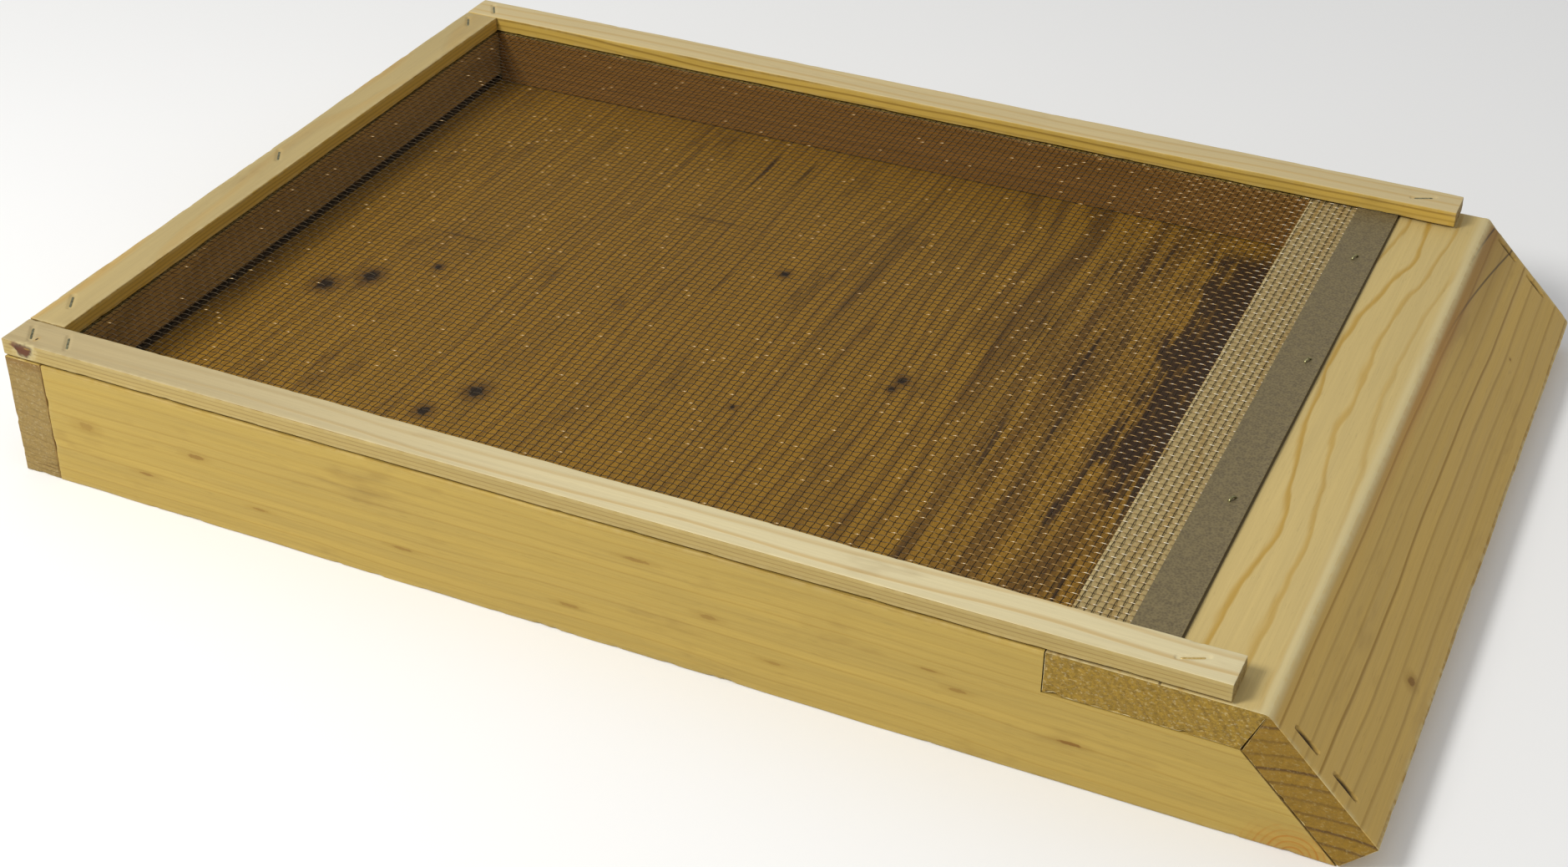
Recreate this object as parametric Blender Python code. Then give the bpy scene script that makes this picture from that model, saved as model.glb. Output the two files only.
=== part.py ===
"""Screened bottom board for a ten-frame beehive, with a slanted landing board at the front.

Metres, +Z up, +X towards the landing board, the left side at +Y. The origin is on the surface that
the board stands on, under the middle of the object's box.
"""

import math

import bmesh
import bpy
from mathutils import Matrix, Vector

# Overall sizes
WIDTH = 0.41275  # outside width of a ten-frame hive
TOTAL_LENGTH = 0.61595  # rear face to the foot of the landing board
BODY_HEIGHT = 0.060325  # height of the side, rear and deck boards' top faces
BOARD = 0.01905  # thickness of every board
SLOPE = math.radians(45)  # landing board, below horizontal

# Rails that the hive body stands on
RAIL_WIDTH = 0.01905
RAIL_HEIGHT = 0.0079375
RAIL_FROM_ARRIS = 0.0135  # front end of the side rails to the arris
RAIL_LIFT = 0.0012  # rails stand this far above the boards, on the screen

# Deck board, screen and the strip on its front edge
DECK_LENGTH = 0.0845  # rear edge to the arris over the landing board
MITRE_GAP = 0.0005
ARRIS_RADIUS = 0.005
SCREEN_THICKNESS = 0.0008
SCREEN_INSET = 0.006  # the screen's edges stop short of the outside faces
SCREEN_UNDER_STRIP = 0.011
STRIP_WIDTH = 0.0198
STRIP_THICKNESS = 0.0004
STRIP_FROM_ARRIS = 0.0408  # front edge of the strip to the arris
STRIP_INSET = 0.003
LEAF_GAP = 0.0001  # between sheet metal and what it lies on

# Mite board and its grooves
TRAY_THICKNESS = 0.00635
TRAY_BOTTOM = 0.0242
TRAY_SIDE_CLEARANCE = 0.0008
TRAY_FRONT_CLEARANCE = 0.0036  # to the back of the landing board
TRAY_GRIP = 0.0127  # stands out behind the rear board
TRAY_NOTCH = (0.075, 0.006)  # finger notch in the grip: length and depth
GROOVE_DEPTH = 0.00635
GROOVE_CLEARANCE = 0.0009  # above the mite board
SLOT_CLEARANCE = 0.0046  # above the mite board, in the rear board
SLOT_SIDE_CLEARANCE = 0.0015

# Fasteners
STAPLE_WIRE = 0.0012
STAPLE_CROWN = 0.011
STAPLE_LEG = 0.025
RAIL_STAPLE_INSET = 0.0180  # front staple of a side rail to the rail's end
STRIP_STAPLE_WIRE = 0.0008
STRIP_STAPLE_CROWN = 0.005
STRIP_STAPLE_LEG = 0.008
SUNKEN_DEPTH = 0.0010  # landing board staples, below its face
NAIL_RADIUS = 0.0014
NAIL_HEAD_RADIUS = 0.0032
NAIL_HEAD_HEIGHT = 0.0010
NAIL_LENGTH = 0.050
NAIL_ABOVE_BASE = 0.014
NAIL_ABOVE_SLOT = 0.005
NAIL_SIDES = 12

FIT = 0.0003  # gap between pieces that touch

# Places worked out from the sizes
REAR_X = -(TOTAL_LENGTH - TRAY_GRIP) / 2
HALF = WIDTH / 2
FOOT_RISE = BOARD * math.cos(SLOPE)
ARRIS_X = REAR_X + TOTAL_LENGTH - (BODY_HEIGHT - FOOT_RISE) / math.tan(SLOPE)
MITRE_RUN = BOARD * math.tan(SLOPE / 2)
DECK_REAR_X = ARRIS_X - DECK_LENGTH
DECK_UNDER = BODY_HEIGHT - BOARD
RAIL_BOTTOM = BODY_HEIGHT + RAIL_LIFT
RAIL_TOP = RAIL_BOTTOM + RAIL_HEIGHT
RAIL_FRONT_X = ARRIS_X - RAIL_FROM_ARRIS
STRIP_FRONT_X = ARRIS_X - STRIP_FROM_ARRIS
STRIP_REAR_X = STRIP_FRONT_X - STRIP_WIDTH
SCREEN_BOTTOM = BODY_HEIGHT + LEAF_GAP
STRIP_BOTTOM = SCREEN_BOTTOM + SCREEN_THICKNESS + LEAF_GAP
STRIP_TOP = STRIP_BOTTOM + STRIP_THICKNESS
TRAY_TOP = TRAY_BOTTOM + TRAY_THICKNESS
SLOT_TOP = TRAY_TOP + SLOT_CLEARANCE
TRAY_HALF = HALF - BOARD + GROOVE_DEPTH - TRAY_SIDE_CLEARANCE

UP = Vector((0, 0, 1))
DOWN_SLOPE = Vector((math.cos(SLOPE), 0, -math.sin(SLOPE)))
OUT_OF_SLOPE = Vector((math.sin(SLOPE), 0, math.cos(SLOPE)))


def back_face_x(height, offset=0.0):
    """X of the landing board's back face at a height, moved out of it by an offset."""
    foot = REAR_X + TOTAL_LENGTH - BOARD * math.sin(SLOPE)
    return foot - height / math.tan(SLOPE) - offset / math.sin(SLOPE)


def clear_scene():
    for obj in list(bpy.data.objects):
        bpy.data.objects.remove(obj, do_unlink=True)


def material(name, colour, roughness, metallic=0.0):
    made = bpy.data.materials.new(name)
    made.use_nodes = True
    shader = made.node_tree.nodes["Principled BSDF"]
    shader.inputs["Base Color"].default_value = (*colour, 1.0)
    shader.inputs["Roughness"].default_value = roughness
    shader.inputs["Metallic"].default_value = metallic
    made.diffuse_color = (*colour, 1.0)
    return made


def mesh_of(name, bm, finish=None):
    """Turn a bmesh's faces outwards and make it a mesh."""
    bmesh.ops.recalc_face_normals(bm, faces=bm.faces)
    mesh = bpy.data.meshes.new(name)
    bm.to_mesh(mesh)
    bm.free()
    if finish:
        mesh.materials.append(finish)
    return mesh


def add_object(name, bm, finish=None):
    obj = bpy.data.objects.new(name, mesh_of(name, bm, finish))
    bpy.context.scene.collection.objects.link(obj)
    return obj


def add_prism(bm, outline, along, length, place=Matrix.Identity(4)):
    """Extrude a flat outline along a direction, both sides of its plane, and place it."""
    step = Vector(along) * length
    start = [place @ (Vector(point) - step / 2) for point in outline]
    end = [place @ (Vector(point) + step / 2) for point in outline]
    first = [bm.verts.new(point) for point in start]
    last = [bm.verts.new(point) for point in end]
    bm.faces.new(first)
    bm.faces.new(last[::-1])
    count = len(outline)
    for index in range(count):
        after = (index + 1) % count
        bm.faces.new((first[index], last[index], last[after], first[after]))


def side_prism(name, outline_xz, y_low, y_high, finish):
    """A board drawn in side view and extruded across the hive."""
    bm = bmesh.new()
    middle = (y_low + y_high) / 2
    outline = [(x, middle, z) for x, z in outline_xz]
    add_prism(bm, outline, (0, 1, 0), y_high - y_low)
    return add_object(name, bm, finish)


def block(bm, low, high):
    """A rectangular block between two corners."""
    size = Vector(high) - Vector(low)
    centre = (Vector(high) + Vector(low)) / 2
    place = Matrix.Translation(centre) @ Matrix.Diagonal((*size, 1.0))
    bmesh.ops.create_cube(bm, size=1.0, matrix=place)


def block_object(name, low, high, finish=None):
    bm = bmesh.new()
    block(bm, low, high)
    return add_object(name, bm, finish)


def as_cutter(obj):
    obj.hide_render = True
    obj.display_type = "WIRE"
    return obj


def cut(target, cutter):
    """Take a cutter's shape out of a piece."""
    modifier = target.modifiers.new(cutter.name, "BOOLEAN")
    modifier.operation = "DIFFERENCE"
    modifier.solver = "EXACT"
    modifier.object = cutter


class Staple:
    """Size of one kind of staple: square wire, crown width, leg length, and how deep it's sunk."""

    def __init__(self, name, wire, crown, leg, sunk):
        self.name = name
        self.wire = wire
        self.half = crown / 2
        self.leg = leg
        self.sunk = sunk

    def outline(self, gap, top):
        """U outline in the staple's own plane, grown by a gap, with its crown raised to a top."""
        outer, inner = self.half + gap, self.half - self.wire - gap
        foot, under = -self.leg - gap, -self.wire - gap
        return [
            (-outer, 0, top), (-outer, 0, foot), (-inner, 0, foot), (-inner, 0, under),
            (inner, 0, under), (inner, 0, foot), (outer, 0, foot), (outer, 0, top),
        ]

    def solid(self, finish):
        """The mesh that all staples of this kind share."""
        bm = bmesh.new()
        add_prism(bm, self.outline(0.0, 0.0), (0, 1, 0), self.wire)
        return mesh_of(self.name, bm, finish)

    def room(self, bm, place):
        """The hole that one staple sits in, open above its crown."""
        above = self.sunk + 2 * FIT
        add_prism(bm, self.outline(FIT, above), (0, 1, 0), self.wire + 2 * FIT, place)

    def place(self, centre, along, out):
        """Crown's middle at a point of a face, with the legs going into the face."""
        out, along = Vector(out).normalized(), Vector(along).normalized()
        columns = Matrix((along, out.cross(along), out)).transposed().to_4x4()
        return Matrix.Translation(Vector(centre) - out * self.sunk) @ columns


class Nail:
    """Round nail that runs along +X from its head."""

    name = "nail"

    def rings(self, gap):
        """Head, shank and point as pairs of length along the nail and radius."""
        head, shank = NAIL_HEAD_RADIUS + gap, NAIL_RADIUS + gap
        return [
            (FIT - 4 * gap, head), (FIT + NAIL_HEAD_HEIGHT + gap, head),
            (FIT + NAIL_HEAD_HEIGHT + gap, shank), (NAIL_LENGTH - 2 * shank, shank),
            (NAIL_LENGTH + gap, shank * 0.3),
        ]

    def turn(self, bm, gap, place):
        rings = [
            [bm.verts.new(place @ point) for point in ring_points(along, radius)]
            for along, radius in self.rings(gap)
        ]
        for ring, after in zip(rings, rings[1:]):
            for step in range(NAIL_SIDES):
                follow = (step + 1) % NAIL_SIDES
                bm.faces.new((ring[step], ring[follow], after[follow], after[step]))
        bm.faces.new(rings[0][::-1])
        bm.faces.new(rings[-1])

    def solid(self, finish):
        bm = bmesh.new()
        self.turn(bm, 0.0, Matrix.Identity(4))
        return mesh_of(self.name, bm, finish)

    def room(self, bm, place):
        self.turn(bm, FIT, place)


def ring_points(along, radius):
    """Points of one ring round the X axis."""
    angles = [2 * math.pi * (step + 0.5) / NAIL_SIDES for step in range(NAIL_SIDES)]
    return [Vector((along, radius * math.cos(angle), radius * math.sin(angle))) for angle in angles]


def turned(degrees):
    """Level direction at an angle from +X."""
    angle = math.radians(degrees)
    return Vector((math.cos(angle), math.sin(angle), 0))


def fasten(group, kind, mesh, places, pieces):
    """Place like fasteners, each its own object on a shared mesh, and cut their holes in the pieces."""
    rooms = bmesh.new()
    for number, place in enumerate(places, start=1):
        obj = bpy.data.objects.new(f"{group}_{number}", mesh)
        bpy.context.scene.collection.objects.link(obj)
        obj.matrix_world = place
        kind.room(rooms, place)
    cutter = as_cutter(add_object(group + "_room", rooms))
    for piece in pieces:
        cut(piece, cutter)


def rear_board(finish):
    """Full-width board at the back, with the slot that the mite board slides out through."""
    board = block_object("rear_board", (REAR_X, -HALF, 0), (REAR_X + BOARD, HALF, BODY_HEIGHT), finish)
    reach = TRAY_HALF + SLOT_SIDE_CLEARANCE
    low = (REAR_X - BOARD, -reach, TRAY_BOTTOM - FIT)
    high = (REAR_X + 2 * BOARD, reach, SLOT_TOP)
    cut(board, as_cutter(block_object("rear_slot_room", low, high)))
    return board


def side_board(name, side, finish):
    """Side board: butts on the rear board, notched for the deck, cut to the landing board's slope."""
    rear = REAR_X + BOARD + FIT
    notch = DECK_UNDER - FIT
    outline = [
        (rear, 0.0),
        (back_face_x(0.0, FIT), 0.0),
        (back_face_x(notch, FIT), notch),
        (DECK_REAR_X - FIT, notch),
        (DECK_REAR_X - FIT, BODY_HEIGHT),
        (rear, BODY_HEIGHT),
    ]
    y_low, y_high = sorted((side * HALF, side * (HALF - BOARD)))
    board = side_prism(name, outline, y_low, y_high, finish)
    groove_y = sorted((side * (HALF - 2 * BOARD), side * (HALF - BOARD + GROOVE_DEPTH)))
    low = (REAR_X, groove_y[0], TRAY_BOTTOM - FIT)
    high = (ARRIS_X + BOARD, groove_y[1], TRAY_TOP + GROOVE_CLEARANCE)
    cut(board, as_cutter(block_object(name + "_groove_room", low, high)))
    return board


def eased_arris(steps=4):
    """Points of the rounded edge between deck and landing board, from the deck's top downwards."""
    run = ARRIS_RADIUS * math.tan(SLOPE / 2)
    centre_x, centre_z = ARRIS_X - run, BODY_HEIGHT - ARRIS_RADIUS
    points = []
    for step in range(steps + 1):
        angle = SLOPE * step / steps
        points.append((centre_x + ARRIS_RADIUS * math.sin(angle), centre_z + ARRIS_RADIUS * math.cos(angle)))
    return points


def deck_board(finish):
    """Board under the entrance, mitred to the landing board, with half of the eased edge."""
    arc = eased_arris()
    half_arc = arc[:len(arc) // 2 + 1]
    lean = math.tan(SLOPE / 2)
    shift = MITRE_GAP / 2
    crest_x, crest_z = half_arc[-1]
    outline = [
        (DECK_REAR_X, DECK_UNDER),
        (ARRIS_X - MITRE_RUN - shift, DECK_UNDER),
        (ARRIS_X - (BODY_HEIGHT - crest_z) * lean - shift, crest_z),
        *reversed(half_arc[:-1]),
        (DECK_REAR_X, BODY_HEIGHT),
    ]
    return side_prism("deck_board", outline, -HALF, HALF, finish)


def landing_board(finish):
    """Slanted board: mitred to the deck above, square-cut at its foot."""
    arc = eased_arris()
    half_arc = arc[len(arc) // 2:]
    lean = math.tan(SLOPE / 2)
    shift = MITRE_GAP / 2
    crest_z = half_arc[0][1]
    outline = [
        (ARRIS_X - MITRE_RUN + shift, DECK_UNDER),
        (back_face_x(0.0), 0.0),
        (REAR_X + TOTAL_LENGTH, FOOT_RISE),
        *reversed(half_arc[1:]),
        (ARRIS_X - (BODY_HEIGHT - crest_z) * lean + shift, crest_z),
    ]
    back_top = back_face_x(DECK_UNDER)
    if outline[0][0] > back_top:
        outline[0] = (outline[0][0], DECK_UNDER - (outline[0][0] - back_top) * math.tan(SLOPE))
    return side_prism("landing_board", outline, -HALF, HALF, finish)


def side_rail(name, side, finish):
    """Rail along a side board, relieved underneath where it presses on the strip."""
    y_low, y_high = sorted((side * HALF, side * (HALF - RAIL_WIDTH)))
    relief = max(STRIP_TOP + FIT, RAIL_BOTTOM)
    outline = [
        (REAR_X, RAIL_BOTTOM),
        (STRIP_REAR_X - FIT, RAIL_BOTTOM),
        (STRIP_REAR_X - FIT, relief),
        (STRIP_FRONT_X + FIT, relief),
        (STRIP_FRONT_X + FIT, RAIL_BOTTOM),
        (RAIL_FRONT_X, RAIL_BOTTOM),
        (RAIL_FRONT_X, RAIL_TOP),
        (REAR_X, RAIL_TOP),
    ]
    return side_prism(name, outline, y_low, y_high, finish)


def rear_rail(finish):
    reach = HALF - RAIL_WIDTH - FIT
    low = (REAR_X, -reach, RAIL_BOTTOM)
    return block_object("rear_rail", low, (REAR_X + RAIL_WIDTH, reach, RAIL_TOP), finish)


def wire_screen(finish):
    """Envelope of the woven screen, which lies on the boards and under the rails."""
    reach = HALF - SCREEN_INSET
    low = (REAR_X + SCREEN_INSET, -reach, SCREEN_BOTTOM)
    high = (STRIP_REAR_X + SCREEN_UNDER_STRIP, reach, SCREEN_BOTTOM + SCREEN_THICKNESS)
    return block_object("wire_screen", low, high, finish)


def screen_strip(finish):
    reach = HALF - STRIP_INSET
    low = (STRIP_REAR_X, -reach, STRIP_BOTTOM)
    return block_object("screen_strip", low, (STRIP_FRONT_X, reach, STRIP_TOP), finish)


def mite_board(finish):
    """Panel that slides out rearwards, with a finger notch in the end that stands out."""
    front = back_face_x(TRAY_TOP) - TRAY_FRONT_CLEARANCE
    rear = REAR_X - TRAY_GRIP
    notch_half, notch_depth = TRAY_NOTCH[0] / 2, TRAY_NOTCH[1]
    outline = [
        (rear, -TRAY_HALF), (rear, -notch_half),
        (rear + notch_depth, -notch_half + notch_depth), (rear + notch_depth, notch_half - notch_depth),
        (rear, notch_half), (rear, TRAY_HALF), (front, TRAY_HALF), (front, -TRAY_HALF),
    ]
    middle = Vector(((front + rear) / 2, 0, TRAY_BOTTOM + TRAY_THICKNESS / 2))
    bm = bmesh.new()
    points = [(x - middle.x, y, 0) for x, y in outline]
    add_prism(bm, points, (0, 0, 1), TRAY_THICKNESS)
    board = add_object("mite_board", bm, finish)
    board.location = middle
    return board


def rail_staple_places(kind, side):
    """A side rail's staples: one or two over the rear corner, and one near the front end."""
    middle = side * (HALF - RAIL_WIDTH / 2)
    rear = (0.0094, 0.0290) if side < 0 else (0.0115,)
    spots = [(REAR_X + x, 122) for x in rear] + [(RAIL_FRONT_X - RAIL_STAPLE_INSET, 25)]
    return [kind.place((x, middle, RAIL_TOP), turned(angle), UP) for x, angle in spots]


def rear_rail_staple_places(kind):
    reach = HALF - RAIL_WIDTH
    x = REAR_X + RAIL_WIDTH * 0.38
    ys = (-reach + 0.0200, -0.0070, reach - 0.0115)
    return [kind.place((x, y, RAIL_TOP), turned(120), UP) for y in ys]


def landing_staple_places(kind):
    """Pairs of staples down the slope at each side, into the side boards' slanted ends."""
    places = []
    for y, downs in ((-HALF + 0.0094, (0.0194, 0.0424)), (HALF - 0.0056, (0.0170, 0.0400))):
        for down in downs:
            centre = Vector((ARRIS_X, y, BODY_HEIGHT)) + DOWN_SLOPE * down
            places.append(kind.place(centre, DOWN_SLOPE, OUT_OF_SLOPE))
    return places


def deck_staple_places(kind):
    """Staples of the deck board into the side boards, under the screen, the strip and the rails."""
    places = []
    for side in (-1, 1):
        for x in (DECK_REAR_X + 0.0080, (STRIP_REAR_X + STRIP_FRONT_X) / 2):
            centre = (x, side * (HALF - BOARD / 2), BODY_HEIGHT)
            places.append(kind.place(centre, turned(0), UP))
    return places


def strip_staple_places(kind):
    x = (STRIP_REAR_X + STRIP_FRONT_X) / 2
    spots = ((0.0025, -0.0827), (0.0035, 0.0353), (0.0005, 0.1367))
    return [kind.place((x + dx, y, STRIP_TOP), turned(65), UP) for dx, y in spots]


def nail_places():
    """Two nails at each side through the rear board into the side board's end."""
    return [
        Matrix.Translation((REAR_X, side * (HALF - BOARD / 2), height))
        for side in (-1, 1)
        for height in (NAIL_ABOVE_BASE, SLOT_TOP + NAIL_ABOVE_SLOT)
    ]


def build():
    clear_scene()
    side_pine = material("side_pine", (0.60, 0.38, 0.11), 0.60)
    rail_pine = material("rail_pine", (0.68, 0.55, 0.29), 0.60)
    deck_pine = material("deck_pine", (0.60, 0.45, 0.20), 0.60)
    slope_pine = material("slope_pine", (0.40, 0.27, 0.09), 0.60)
    tray_wood = material("tray_wood", (0.20, 0.11, 0.025), 0.65)
    screen_steel = material("screen_steel", (0.42, 0.38, 0.30), 0.45, 1.0)
    strip_steel = material("strip_steel", (0.20, 0.17, 0.10), 0.50, 1.0)
    staple_steel = material("staple_steel", (0.45, 0.44, 0.38), 0.35, 1.0)

    rear = rear_board(side_pine)
    right = side_board("right_side_board", -1, side_pine)
    left = side_board("left_side_board", 1, side_pine)
    deck = deck_board(deck_pine)
    landing = landing_board(slope_pine)
    right_rail = side_rail("right_rail", -1, rail_pine)
    left_rail = side_rail("left_rail", 1, rail_pine)
    back_rail = rear_rail(rail_pine)
    screen = wire_screen(screen_steel)
    strip = screen_strip(strip_steel)
    mite_board(tray_wood)

    level = Staple("staple", STAPLE_WIRE, STAPLE_CROWN, STAPLE_LEG, FIT)
    sunken = Staple("sunken_staple", STAPLE_WIRE, STAPLE_CROWN, STAPLE_LEG, SUNKEN_DEPTH)
    short = Staple("short_staple", STRIP_STAPLE_WIRE, STRIP_STAPLE_CROWN, STRIP_STAPLE_LEG, 0.0)
    nail = Nail()
    mesh = level.solid(staple_steel)
    places = rail_staple_places(level, -1)
    fasten("right_rail_staple", level, mesh, places, (right_rail, screen, rear, right, deck))
    places = rail_staple_places(level, 1)
    fasten("left_rail_staple", level, mesh, places, (left_rail, screen, rear, deck))
    places = rear_rail_staple_places(level)
    fasten("rear_rail_staple", level, mesh, places, (back_rail, screen, rear))
    places = deck_staple_places(level)
    fasten("deck_board_staple", level, mesh, places, (deck, right, left))
    mesh = sunken.solid(staple_steel)
    fasten("landing_board_staple", sunken, mesh, landing_staple_places(sunken), (landing, right, left))
    mesh = short.solid(staple_steel)
    fasten("strip_staple", short, mesh, strip_staple_places(short), (strip, screen, deck))
    mesh = nail.solid(staple_steel)
    fasten("rear_board_nail", nail, mesh, nail_places(), (rear, right, left))


build()
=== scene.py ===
"""Looks of a screened bottom board for a beehive: boards, rails, woven screen, strip, staples and nails.

Laid out as an add-on: one operator makes each piece or group of like pieces round the CAD frame, and
the panel in the 3D view's sidebar lists them. Metres, +Z up, +X towards the landing board.
"""

import bpy
import numpy as np
from bpy.props import FloatProperty, FloatVectorProperty, PointerProperty
from bpy.types import Operator, Panel, PropertyGroup
from mathutils import Matrix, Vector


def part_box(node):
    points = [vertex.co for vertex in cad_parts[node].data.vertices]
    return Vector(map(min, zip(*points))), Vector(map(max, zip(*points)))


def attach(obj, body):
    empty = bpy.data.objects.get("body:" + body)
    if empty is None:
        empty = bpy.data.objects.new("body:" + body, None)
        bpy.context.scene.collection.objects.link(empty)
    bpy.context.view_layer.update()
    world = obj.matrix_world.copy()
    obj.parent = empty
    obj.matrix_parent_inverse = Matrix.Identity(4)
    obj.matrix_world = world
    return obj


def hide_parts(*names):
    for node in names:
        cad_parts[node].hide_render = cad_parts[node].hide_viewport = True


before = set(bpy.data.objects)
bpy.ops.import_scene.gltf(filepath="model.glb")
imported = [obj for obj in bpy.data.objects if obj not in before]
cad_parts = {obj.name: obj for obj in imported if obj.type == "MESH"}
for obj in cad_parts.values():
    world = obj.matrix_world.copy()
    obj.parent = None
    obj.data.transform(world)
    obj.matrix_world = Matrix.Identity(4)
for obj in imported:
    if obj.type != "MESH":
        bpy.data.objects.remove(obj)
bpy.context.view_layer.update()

bl_info = {
    "name": "Screened Bottom Board",
    "version": (1, 0, 0),
    "blender": (4, 5, 0),
    "location": "3D View > Sidebar > Bottom Board",
    "description": "Makes the boards, the screen and the fasteners of a screened hive bottom board",
    "category": "Add Mesh",
}


# ---------------------------------------------------------------- places, read from the frame

def corners(node):
    """Lowest and highest corner of a CAD node as arrays."""
    low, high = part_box(node)
    return np.array(low, float), np.array(high, float)


REAR_LOW, REAR_HIGH = corners("rear_board")
DECK_LOW, _ = corners("deck_board")
_, FOOT_HIGH = corners("landing_board")
TRAY_LOW, TRAY_HIGH = corners("mite_board")
STRIP_LOW, STRIP_HIGH = corners("screen_strip")
SCREEN_LOW, SCREEN_HIGH = corners("wire_screen")
_, RAIL_HIGH = corners("right_rail")

HALF = REAR_HIGH[1]
BOARD = REAR_HIGH[0] - REAR_LOW[0]
TOP = REAR_HIGH[2]
SLOPE = np.radians(45.0)
LEAN = np.tan(SLOPE / 2)  # the mitre's run for each unit of depth
FIT = 0.0003
ARRIS_X = FOOT_HIGH[0] - (TOP - BOARD * np.cos(SLOPE)) / np.tan(SLOPE)
ARRIS_RADIUS = 0.005
SLOPE_LENGTH = (FOOT_HIGH[0] - ARRIS_X) / np.cos(SLOPE)
DOWN_SLOPE = np.array([np.cos(SLOPE), 0.0, -np.sin(SLOPE)])
OUT_OF_SLOPE = np.array([np.sin(SLOPE), 0.0, np.cos(SLOPE)])
UP = np.array([0.0, 0.0, 1.0])
ACROSS = np.array([0.0, 1.0, 0.0])

GROOVE_Y = TRAY_HIGH[1] + 0.0008  # the mite board's clearances in the grooves and in the slot
GROOVE_TOP = TRAY_HIGH[2] + 0.0009
SLOT_Y = TRAY_HIGH[1] + 0.0015
SLOT_TOP = TRAY_HIGH[2] + 0.0046
SLOT_BOTTOM = TRAY_LOW[2] - FIT

EDGE_EASE = 0.0006  # radius that sandpaper leaves on a planed edge
WORN_REACH = 0.004  # how far from an edge its wear shows
MITRE_OPENING = 0.025  # each side of the mitre draws back by this share of its depth
EASED_DEPTH = 0.006  # the eased arris's fall fades out over this depth

RAIL_STAPLE = dict(wire=0.0012, crown=0.011, leg=0.0245)
STRIP_STAPLE = dict(wire=0.0009, crown=0.005, leg=0.0075, lift=0.0010, bow=0.0004)

KEY_LIGHT_PLACE = (-0.75, -1.15, 1.35)
CAMERA_ANGLES = (33.572, 24.439, 0.546)  # degrees above the floor, round from -Y, and of roll


# ---------------------------------------------------------------- surfaces

def smooth(low, high, value):
    """Smooth step: 0 below low, 1 above high, and 3 t^2 - 2 t^3 between."""
    t = np.clip((value - low) / (high - low), 0.0, 1.0)
    return t * t * (3.0 - 2.0 * t)


def ripple(points, lengths, seed, waves=8):
    """Sum of sines in random directions, sin(k . p + phase), with |k| about 2 pi over the lengths.

    lengths is one wavelength or one for each axis, so a pattern can be drawn out along the grain.
    The sum is divided by the root of the number of waves, which keeps it about between -1.5 and 1.5.
    """
    rng = np.random.default_rng(seed)
    waving = rng.normal(size=(waves, 3)) * (2 * np.pi / np.broadcast_to(lengths, 3)) * 0.6
    phase = rng.uniform(0, 2 * np.pi, waves)
    return np.sin(points @ waving.T + phase).sum(axis=1) / np.sqrt(waves)


def ticks(low, high, step, marks=(), fine=(), ease=EDGE_EASE):
    """Grid line places from low to high.

    Even steps, closer ones where fine says (middle, reach, step), the two lines that an eased edge
    needs at each end, and the marks. Lines that would crowd a mark or an edge are left out.
    """
    even = np.linspace(low, high, max(2, int(round((high - low) / step)) + 1))
    close = [np.arange(middle - reach, middle + reach, tick) for middle, reach, tick in fine]
    loose = np.unique(np.round(np.concatenate([even, *close]), 4))
    edge = np.array([0.0, 0.586 * ease, ease])
    kept = np.concatenate([low + edge, high - edge, np.array(marks, float)])
    room = np.abs(loose[:, None] - kept[None, :]).min(axis=1)
    loose = loose[(room > 0.45 * ease) & (loose > low) & (loose < high)]
    return np.unique(np.concatenate([loose, kept]))


def cells(lines):
    """Middles of a grid's cells on each axis, shaped so that conditions on them combine."""
    middles = [(line[1:] + line[:-1]) / 2 for line in lines]
    return np.meshgrid(*middles, indexing="ij")


def whole(lines):
    """A grid with every cell filled."""
    return np.ones([len(line) - 1 for line in lines], bool)


def skin(lines, filled):
    """Closed surface round the filled cells of a grid of lines.

    A quad stands where a filled cell meets an empty one, wound so that its normal points out of the
    filled cell; corners are welded by their number in the grid. Returns points, quads, and for each
    quad its axis from 1 to 3, negative where it faces down that axis.
    """
    counts = [len(line) for line in lines]
    padded = np.pad(filled, 1)
    quads, facing = [], []
    for axis in range(3):
        trim = tuple(slice(None) if a == axis else slice(1, -1) for a in range(3))
        before = np.take(padded, range(counts[axis]), axis=axis)[trim]
        after = np.take(padded, range(1, counts[axis] + 1), axis=axis)[trim]
        b, c = (axis + 1) % 3, (axis + 2) % 3
        for sign, wall in ((1, before & ~after), (-1, after & ~before)):
            corner = np.repeat(np.argwhere(wall)[:, None, :], 4, axis=1)
            corner[:, 1:3, b] += 1
            corner[:, 2:4, c] += 1
            quads.append(corner[:, ::sign])
            facing.append(np.full(len(corner), sign * (axis + 1)))
    corner = np.concatenate(quads)
    numbers = (corner[..., 0] * counts[1] + corner[..., 1]) * counts[2] + corner[..., 2]
    used, faces = np.unique(numbers, return_inverse=True)
    i, rest = np.divmod(used, counts[1] * counts[2])
    j, k = np.divmod(rest, counts[2])
    points = np.stack([lines[0][i], lines[1][j], lines[2][k]], axis=1)
    return points, faces.reshape(-1, 4), np.concatenate(facing)


def edge_nearness(points, low, high):
    """1 at the edges of a box and 0 past the worn reach.

    On a face the smallest distance to the box's sides is 0, so the second smallest is the distance
    to the nearest edge.
    """
    to_side = np.sort(np.minimum(points - low, high - points), axis=1)
    return 1.0 - smooth(0.0, WORN_REACH, to_side[:, 1])


def eased(points, low, high, radius):
    """Rounds a box's edges: a point is drawn into the box shrunk by the radius, then put back one
    radius along the same line. Points that aren't on the box's outside stay."""
    radius = np.broadcast_to(radius, len(points))[:, None]
    inner = np.clip(points, low + radius, high - radius)
    out = points - inner
    length = np.linalg.norm(out, axis=1, keepdims=True)
    on_box = ((points <= low + 1e-9) | (points >= high - 1e-9)).any(axis=1, keepdims=True)
    return np.where(on_box & (length > 0), inner + out * radius / np.maximum(length, 1e-12), points)


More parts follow.
